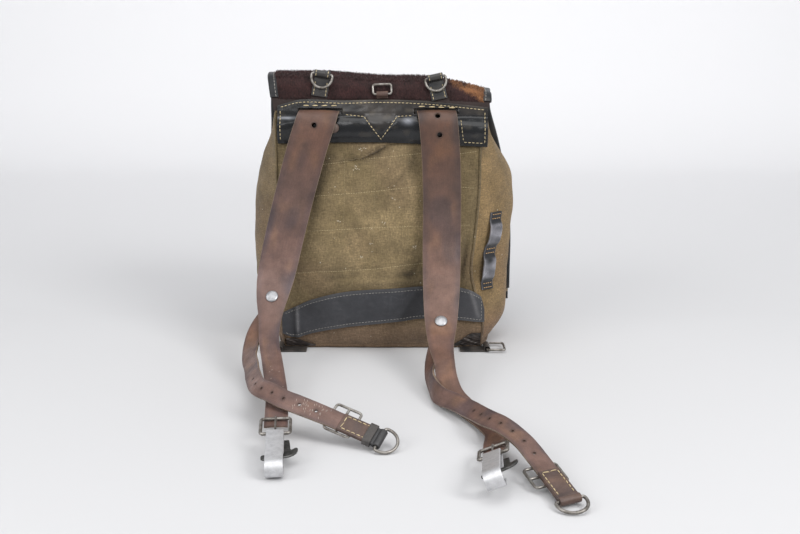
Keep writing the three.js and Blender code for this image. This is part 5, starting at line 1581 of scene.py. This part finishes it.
def straight_rod(start, end, radius, steps=6):
    """A round rod between two points."""
    line = np.linspace(start, end, steps)
    ahead = unit(np.subtract(end, start))
    a = unit(np.cross(ahead, (0.31, 0.2, 0.93)))
    a, b = (np.tile(way, (steps, 1)) for way in (a, np.cross(ahead, a)))
    return carried(round_section(radius, 10), line, a, b)


print("a wire loop has", len(wire_loop(bow_outline(26, 17), 1.5)[0]), "points")


# %% Rivets and a stud
AXIS = 0.05


def dome(radius, base, rise):
    """The top of a turned section: a quarter of an ellipse from its rim to the axis."""
    angle = np.linspace(0, np.pi / 2, 8)
    return np.stack([AXIS + (radius - AXIS) * np.cos(angle), base + rise * np.sin(angle)], -1)


def spun(section, sides=36):
    """A section of (distance from the axis, height) turned once about Z."""
    angle = np.linspace(0, 2 * np.pi, sides, endpoint=False)
    out = np.stack([np.cos(angle), np.sin(angle), 0 * angle], -1)
    return carried(section, 0 * out, out, upright(sides), ring=True)


RIVET_FOOT = [(AXIS, -4.8), (5.2, -4.8), (5.5, -4.4), (5.5, -3.6), (2.2, -3.6), (2.2, 3.6), (6.7, 3.6)]
rivet_shape = spun(np.concatenate([RIVET_FOOT, dome(7.0, 3.8, 1.8)]))
for side_name in ("left", "right"):
    rivet_seat = strap_seat(shoulder_lines[side_name], rivet_at[side_name])
    rivet_seat = shifted(rivet_seat, 0, 0, -(LEATHER + STRAP_CLEAR) / 2)
    shape = seated(rivet_shape, rivet_seat)
    make_piece(f"rivet_{side_name}", shape, RIVET_METAL, "steel", stands_for=f"strap_rivet_{side_name}")

STUD_X, STUD_Z, STUD_TONE = -54.5, 267.0, (0.105, 0.07, 0.055)
stud_shape = spun(np.concatenate([[(AXIS, -3), (5.6, -3)], dome(5.6, 2, 2.5)]))
stud_spot = yoke_skin(np.array(STUD_X), yoke_place(STUD_X, STUD_Z))
shape = seated(stud_shape, np.array([stud_spot, (1.0, 0, 0), (0, 0, 1.0), (0, -1.0, 0)]))
make_piece("strap_stud", shape, STRAP_LEATHER, "strap_leather", tone=painted(STUD_TONE, len(shape[0])))

# %% Hook frames and hooks
HOOK_WIRE, HOOK_OVER = 1.6, 2.9
frame_shape = joined([
    wire_loop(rectangle_outline(27, -27, 0, 3), HOOK_WIRE),
    straight_rod((0, -27, 2.0), (0, -5, 2.0), 1.0),
])
hook_path = along_line(np.concatenate([
    [(29, -6.5), (4, -HOOK_OVER)],
    bend(0, 0, HOOK_OVER, HOOK_OVER, 270, 90, 15),
    [(5, HOOK_OVER), (50, 1.9)],
    bend(50, -5.6, 7.5, 7.5, 90, -90, 21),
    [(37, -13.1)],
]), 0.9)
hook_shape = bent_strip(hook_path, 16, 1.8)

PLATE = np.array([
    (-7, 3), (-12.6, 3), (-13.4, 12), (-13.8, 19), (-14.6, 20.4), (-16, 19.6), (-17.6, 17.6), (-19.4, 17.2),
    (-20.4, 18.6), (-20.4, 21.5), (-19.2, 25.4), (-16.8, 28.8), (-12.5, 31.6), (-6, 33.4), (0, 34.6),
    (6, 35.4), (10, 35.6), (12, 34), (12.3, 31), (11.4, 28.6), (9.6, 28.2), (8, 29), (0, 28.6), (-6, 27),
], float)
PLATE_LOW, PLATE_HIGH = -7.4, -5.4
rim = np.arange(len(PLATE))[None]
plate_points = np.concatenate([at_height(PLATE, PLATE_LOW), at_height(PLATE, PLATE_HIGH)])
plate_faces = [grid_quads(2, len(PLATE), wrap_columns=True), rim[:, ::-1], rim + len(PLATE)]
for side_name, pitch in (("left", 1.5), ("right", 0)):
    end = strap_seat(shoulder_lines[side_name], shoulder_lines[side_name].length)
    frame_seat = shifted(end, 0, 18.9, LEATHER / 2 + GAP + HOOK_WIRE)
    shape = seated(frame_shape, frame_seat)
    make_piece(f"wire_frame_{side_name}", shape, STEEL, "steel", stands_for=f"hook_frame_{side_name}")
    hook_seat = turned(frame_seat, 0, pitch)
    body = f"belt_hook_{side_name}"
    shape = seated(hook_shape, hook_seat)
    make_piece(f"hook_strip_{side_name}", shape, ALUMINIUM, "aluminium", body=body, stands_for=body)
    shape = seated((plate_points, plate_faces), hook_seat)
    make_piece(f"hook_plate_{side_name}", shape, DARK_STEEL, "steel", body=body, bevel=0.5)


# %% Strap ends: buckle, folded chape, keeper and ring
def folded_leaf(reach, thickness, knuckle, width, middle):
    """Leather folded round a bar: one layer runs out under it, turns round and comes back on top."""
    layer = thickness / 2
    loop = knuckle - layer / 2
    meet = np.degrees(np.arcsin(np.clip((thickness - layer / 2 - middle) / loop, -1, 1)))
    path = np.concatenate([
        [(0, layer / 2), (max(reach - 1.3 * knuckle, 0.4), layer / 2)],
        bend(reach, middle, loop, loop, -100, 180 - meet, 25),
        [(max(reach - 1.9 * loop, 0.4), thickness - layer / 2), (0, thickness - layer / 2)],
    ])
    return bent_strip(along_line(path, 0.7), width, layer * 0.96)


def leather_values(points, dark, light, seed):
    """Two mixed tones for a small leather piece."""
    x, y, z = points.T
    share = np.clip(0.5 + 0.5 * ripple(x + y, z + y, 14, seed), 0, 1)
    return {"tone": painted(blend_of(dark, light, share), len(points))}


def flat_row(points, seat):
    """A row of stitches drawn in a small frame, looking off its face."""
    line = put(along_line(points, 0.8), seat)
    return line, np.tile(seat[3], (len(line), 1))


def stood_up(points):
    """Flat points stood up: their second number becomes the height."""
    return np.insert(points, 1, 0.0, axis=1)


# %% Both strap ends
CHAPE_REACH, CHAPE_THICK, CHAPE_DARK_FROM, KEEPER_AT = 40, 4.4, 28, 30.5
CHAPE_ROWS = [[(-7, 3, 0), (-7, 34, 0)], [(7, 3, 0), (7, 34, 0)], [(-7, 3, 0), (7, 3, 0)]]
CHAPE_TONES = (0.055, 0.036, 0.033), (0.115, 0.066, 0.047)
KEEPER_TONES = (0.030, 0.028, 0.028), (0.075, 0.066, 0.060)
chape_shape = folded_leaf(CHAPE_REACH, CHAPE_THICK, knuckle=4.0, width=NARROW_WIDTH, middle=CHAPE_THICK / 2)
buckle_bar = straight_rod((-15, 0, 0), (15, 0, 0), 1.3)
buckle_shape = joined([wire_loop(rectangle_outline(30, -13, 13, 3), 1.3), buckle_bar])
keeper_line = rectangle_outline(21.2, -3.3, 3.3, 1.8)
keeper_along = np.tile([0.0, 1.0, 0.0], (len(keeper_line), 1))
keeper_out = stood_up(outward(keeper_line))
keeper_shape = carried(rounded_bar(1.6, 8, 0.5), stood_up(keeper_line), keeper_out, keeper_along, ring=True)
end_ring_shape = wire_loop(bow_outline(26, 17), 1.5)
for side_name, seed, aside in (("left", 101, -4.5), ("right", 102, 2)):
    end = strap_seat(narrow_lines[side_name], narrow_lines[side_name].length)
    chape_seat = shifted(end, 0, GAP, -CHAPE_THICK / 2)
    shape = seated(chape_shape, chape_seat)
    values = leather_values(shape[0], *CHAPE_TONES, seed)
    if side_name == "left":
        values["tone"][chape_shape[0][:, 1] > CHAPE_DARK_FROM, :3] = (0.032, 0.031, 0.032)
    node = f"ring_chape_{side_name}"
    make_piece(f"chape_{side_name}", shape, STRAP_LEATHER, "strap_leather", stands_for=node, **values)
    top = shifted(chape_seat, 0, 0, CHAPE_THICK)
    rows = [flat_row(row, top) for row in CHAPE_ROWS]
    sew(f"chape_thread_{side_name}", rows, CREAM_THREAD, "strap_leather", length=3.4, gap=1.3, thick=0.9)
    shape = seated(buckle_shape, shifted(end, aside, 0, -3.8))
    make_piece(f"buckle_{side_name}", shape, STEEL, "steel", stands_for=f"end_buckle_{side_name}")
    body = f"end_ring_{side_name}"
    shape = seated(end_ring_shape, shifted(end, 0, GAP + CHAPE_REACH, 0))
    make_piece(f"d_ring_{side_name}", shape, STEEL, "steel", body=body, stands_for=body)
    if side_name == "left":
        shape = seated(keeper_shape, shifted(end, 0, KEEPER_AT, 0))
        values = leather_values(shape[0], *KEEPER_TONES, 103)
        make_piece("keeper", shape, GREY_LEATHER, "strap_leather", stands_for="chape_keeper_left", **values)

# %% [markdown]
# ## Tabs and rings on top, loops at the corners
# Two black tabs stand up from the yoke, each folded round a D-ring that hangs down over it; a small
# brown tab in the middle holds a wire loop. They lean on the rising hide, so their seat is taken from
# the hide's own slope. At the lower corners two tabs lie flat and hold the loops for the lower straps,
# and a crumpled piece of leather is turned up over each corner of the canvas.


# %% Top tabs and rings
def flap_seat(x, turn):
    """A seat on the back of the flap just above the yoke: X along the rim, Y up the hide, Z off it."""
    s = np.array([(x - FLAP["left"][1]) / (FLAP["right"][1] - FLAP["left"][1]) * 2 - 1])
    low = flap_skin(np.array([0.3]), s)[0]
    up = unit(flap_skin(np.array([1.8]), s)[0] - low)
    sideways = unit(np.array([1.0, 0, 0]) - up * up[0])
    top = float(follow(YOKE_EDGES, "x", "top", x))
    origin = low + up * (top + GAP - low[2]) / up[2]
    return turned(np.array([origin, sideways, up, unit(np.cross(sideways, up))]), 2, turn)


BLACK_TONES = (0.008, 0.009, 0.011), (0.040, 0.036, 0.033)
BROWN_TONES = (0.055, 0.032, 0.026), (0.14, 0.07, 0.045)
TAB_REACH, TAB_MIDDLE, TAB_EDGES = 25, 4.3, (-6.8, 6.8)
top_leaf = folded_leaf(TAB_REACH, 2.2, knuckle=4.0, width=18, middle=TAB_MIDDLE)
top_ring_shape = wire_loop(bow_outline(23.5, 15.5) * [1, -1], 1.5)
tab_rows = []
for side_name, x, turn in (("left", -72, -14), ("right", 66, 14.5)):
    seat = shifted(flap_seat(x, turn), 0, 2.6, 1)
    shape = seated(top_leaf, seat)
    values = leather_values(shape[0], *BLACK_TONES, 111)
    node = f"top_tab_{side_name}"
    make_piece(f"tab_{side_name}", shape, BLACK_LEATHER, "black_leather", stands_for=node, **values)
    body = f"top_ring_{side_name}"
    shape = seated(top_ring_shape, shifted(seat, 0, TAB_REACH, TAB_MIDDLE))
    make_piece(f"hanging_ring_{side_name}", shape, STEEL, "steel", body=body, stands_for=body)
    top = shifted(seat, 0, 0, 2.25)
    tab_rows += [flat_row([(edge_x, 0.5, 0), (edge_x, 16.5, 0)], top) for edge_x in TAB_EDGES]
    bulge = bend(TAB_REACH, TAB_MIDDLE, 4.05, 4.05, 30, 150, 12)
    for edge_x in TAB_EDGES:
        line = put(np.insert(bulge, 0, edge_x, axis=1), seat)
        tab_rows.append((line, unit(line - put(np.array([edge_x, TAB_REACH, TAB_MIDDLE]), seat))))
sew("tab_thread", tab_rows, CREAM_THREAD, "black_leather", length=2.6, gap=1.1, thick=0.8)

CENTRE_REACH, CENTRE_MIDDLE = 4.5, 3.7
centre_seat = shifted(flap_seat(0.4, 0), 0, 0.4, 0.8)
shape = seated(folded_leaf(CENTRE_REACH, 2.2, knuckle=3.3, width=13, middle=CENTRE_MIDDLE), centre_seat)
values = leather_values(shape[0], *BROWN_TONES, 112)
make_piece("tab_centre", shape, STRAP_LEATHER, "strap_leather", stands_for="centre_tab", **values)
centre_shape = wire_loop(rectangle_outline(20.8, 0, 11, 2.6), 1.3)
shape = seated(centre_shape, shifted(centre_seat, 0, CENTRE_REACH, CENTRE_MIDDLE))
make_piece("wire_loop_centre", shape, STEEL, "steel", body="centre_loop", stands_for="centre_loop")


# %% Corner tabs and loops
def corner_leather(way, u, v, rise):
    """The leather of a lower corner, turned up over the canvas: u runs out to the corner and v up from
    the floor to an edge that climbs, with crumples pressed into it."""
    climb = 15 if way > 0 else 8
    x = way * (82 + 35 * u)
    z = 3.2 + (2 + climb * step(0, 0.75, u)) * v
    crumple = 0.9 * ripple(x + 2 * z, z, 11, 121) + 0.5 * ripple(x, 2 * z, 6, 122)
    return np.stack([x, back_flat(x, z) - 0.9 - rise * (1.9 + 0.8 * crumple), z], -1)


FOOT_REACH, FOOT_MIDDLE = 32, 4.0
FOOT_TONES = (0.020, 0.019, 0.019), (0.070, 0.060, 0.052)
CORNER_TONES = (0.016, 0.014, 0.014), (0.062, 0.049, 0.043)
corner_leaf = folded_leaf(FOOT_REACH, 1.8, knuckle=3.8, width=18.4, middle=FOOT_MIDDLE)
corner_wire = wire_loop(rectangle_outline(26, 0, 21, 3), 1.4)
for side_name, way in (("left", -1), ("right", 1)):
    seat = np.array([(way * 92, -56.8, 0.3), (0, -way, 0), (way, 0, 0), (0, 0, 1)], float)
    shape = seated(corner_leaf, seat)
    values = leather_values(shape[0], *FOOT_TONES, 113)
    node = f"corner_tab_{side_name}"
    make_piece(f"foot_tab_{side_name}", shape, GREY_LEATHER, "black_leather", stands_for=node, **values)
    u, v = np.meshgrid(np.linspace(0, 1, 61), np.linspace(0, 1, 25))
    shape = wall(corner_leather(way, u, v, 1), corner_leather(way, u, v, 0))
    values = leather_values(shape[0], *CORNER_TONES, 114)
    make_piece(f"corner_leather_{side_name}", shape, GREY_LEATHER, "black_leather", bevel=0.3, **values)
    shape = seated(corner_wire, shifted(seat, 0, FOOT_REACH, FOOT_MIDDLE))
    make_piece(f"foot_loop_{side_name}", shape, STEEL, "steel", stands_for=f"corner_loop_{side_name}")
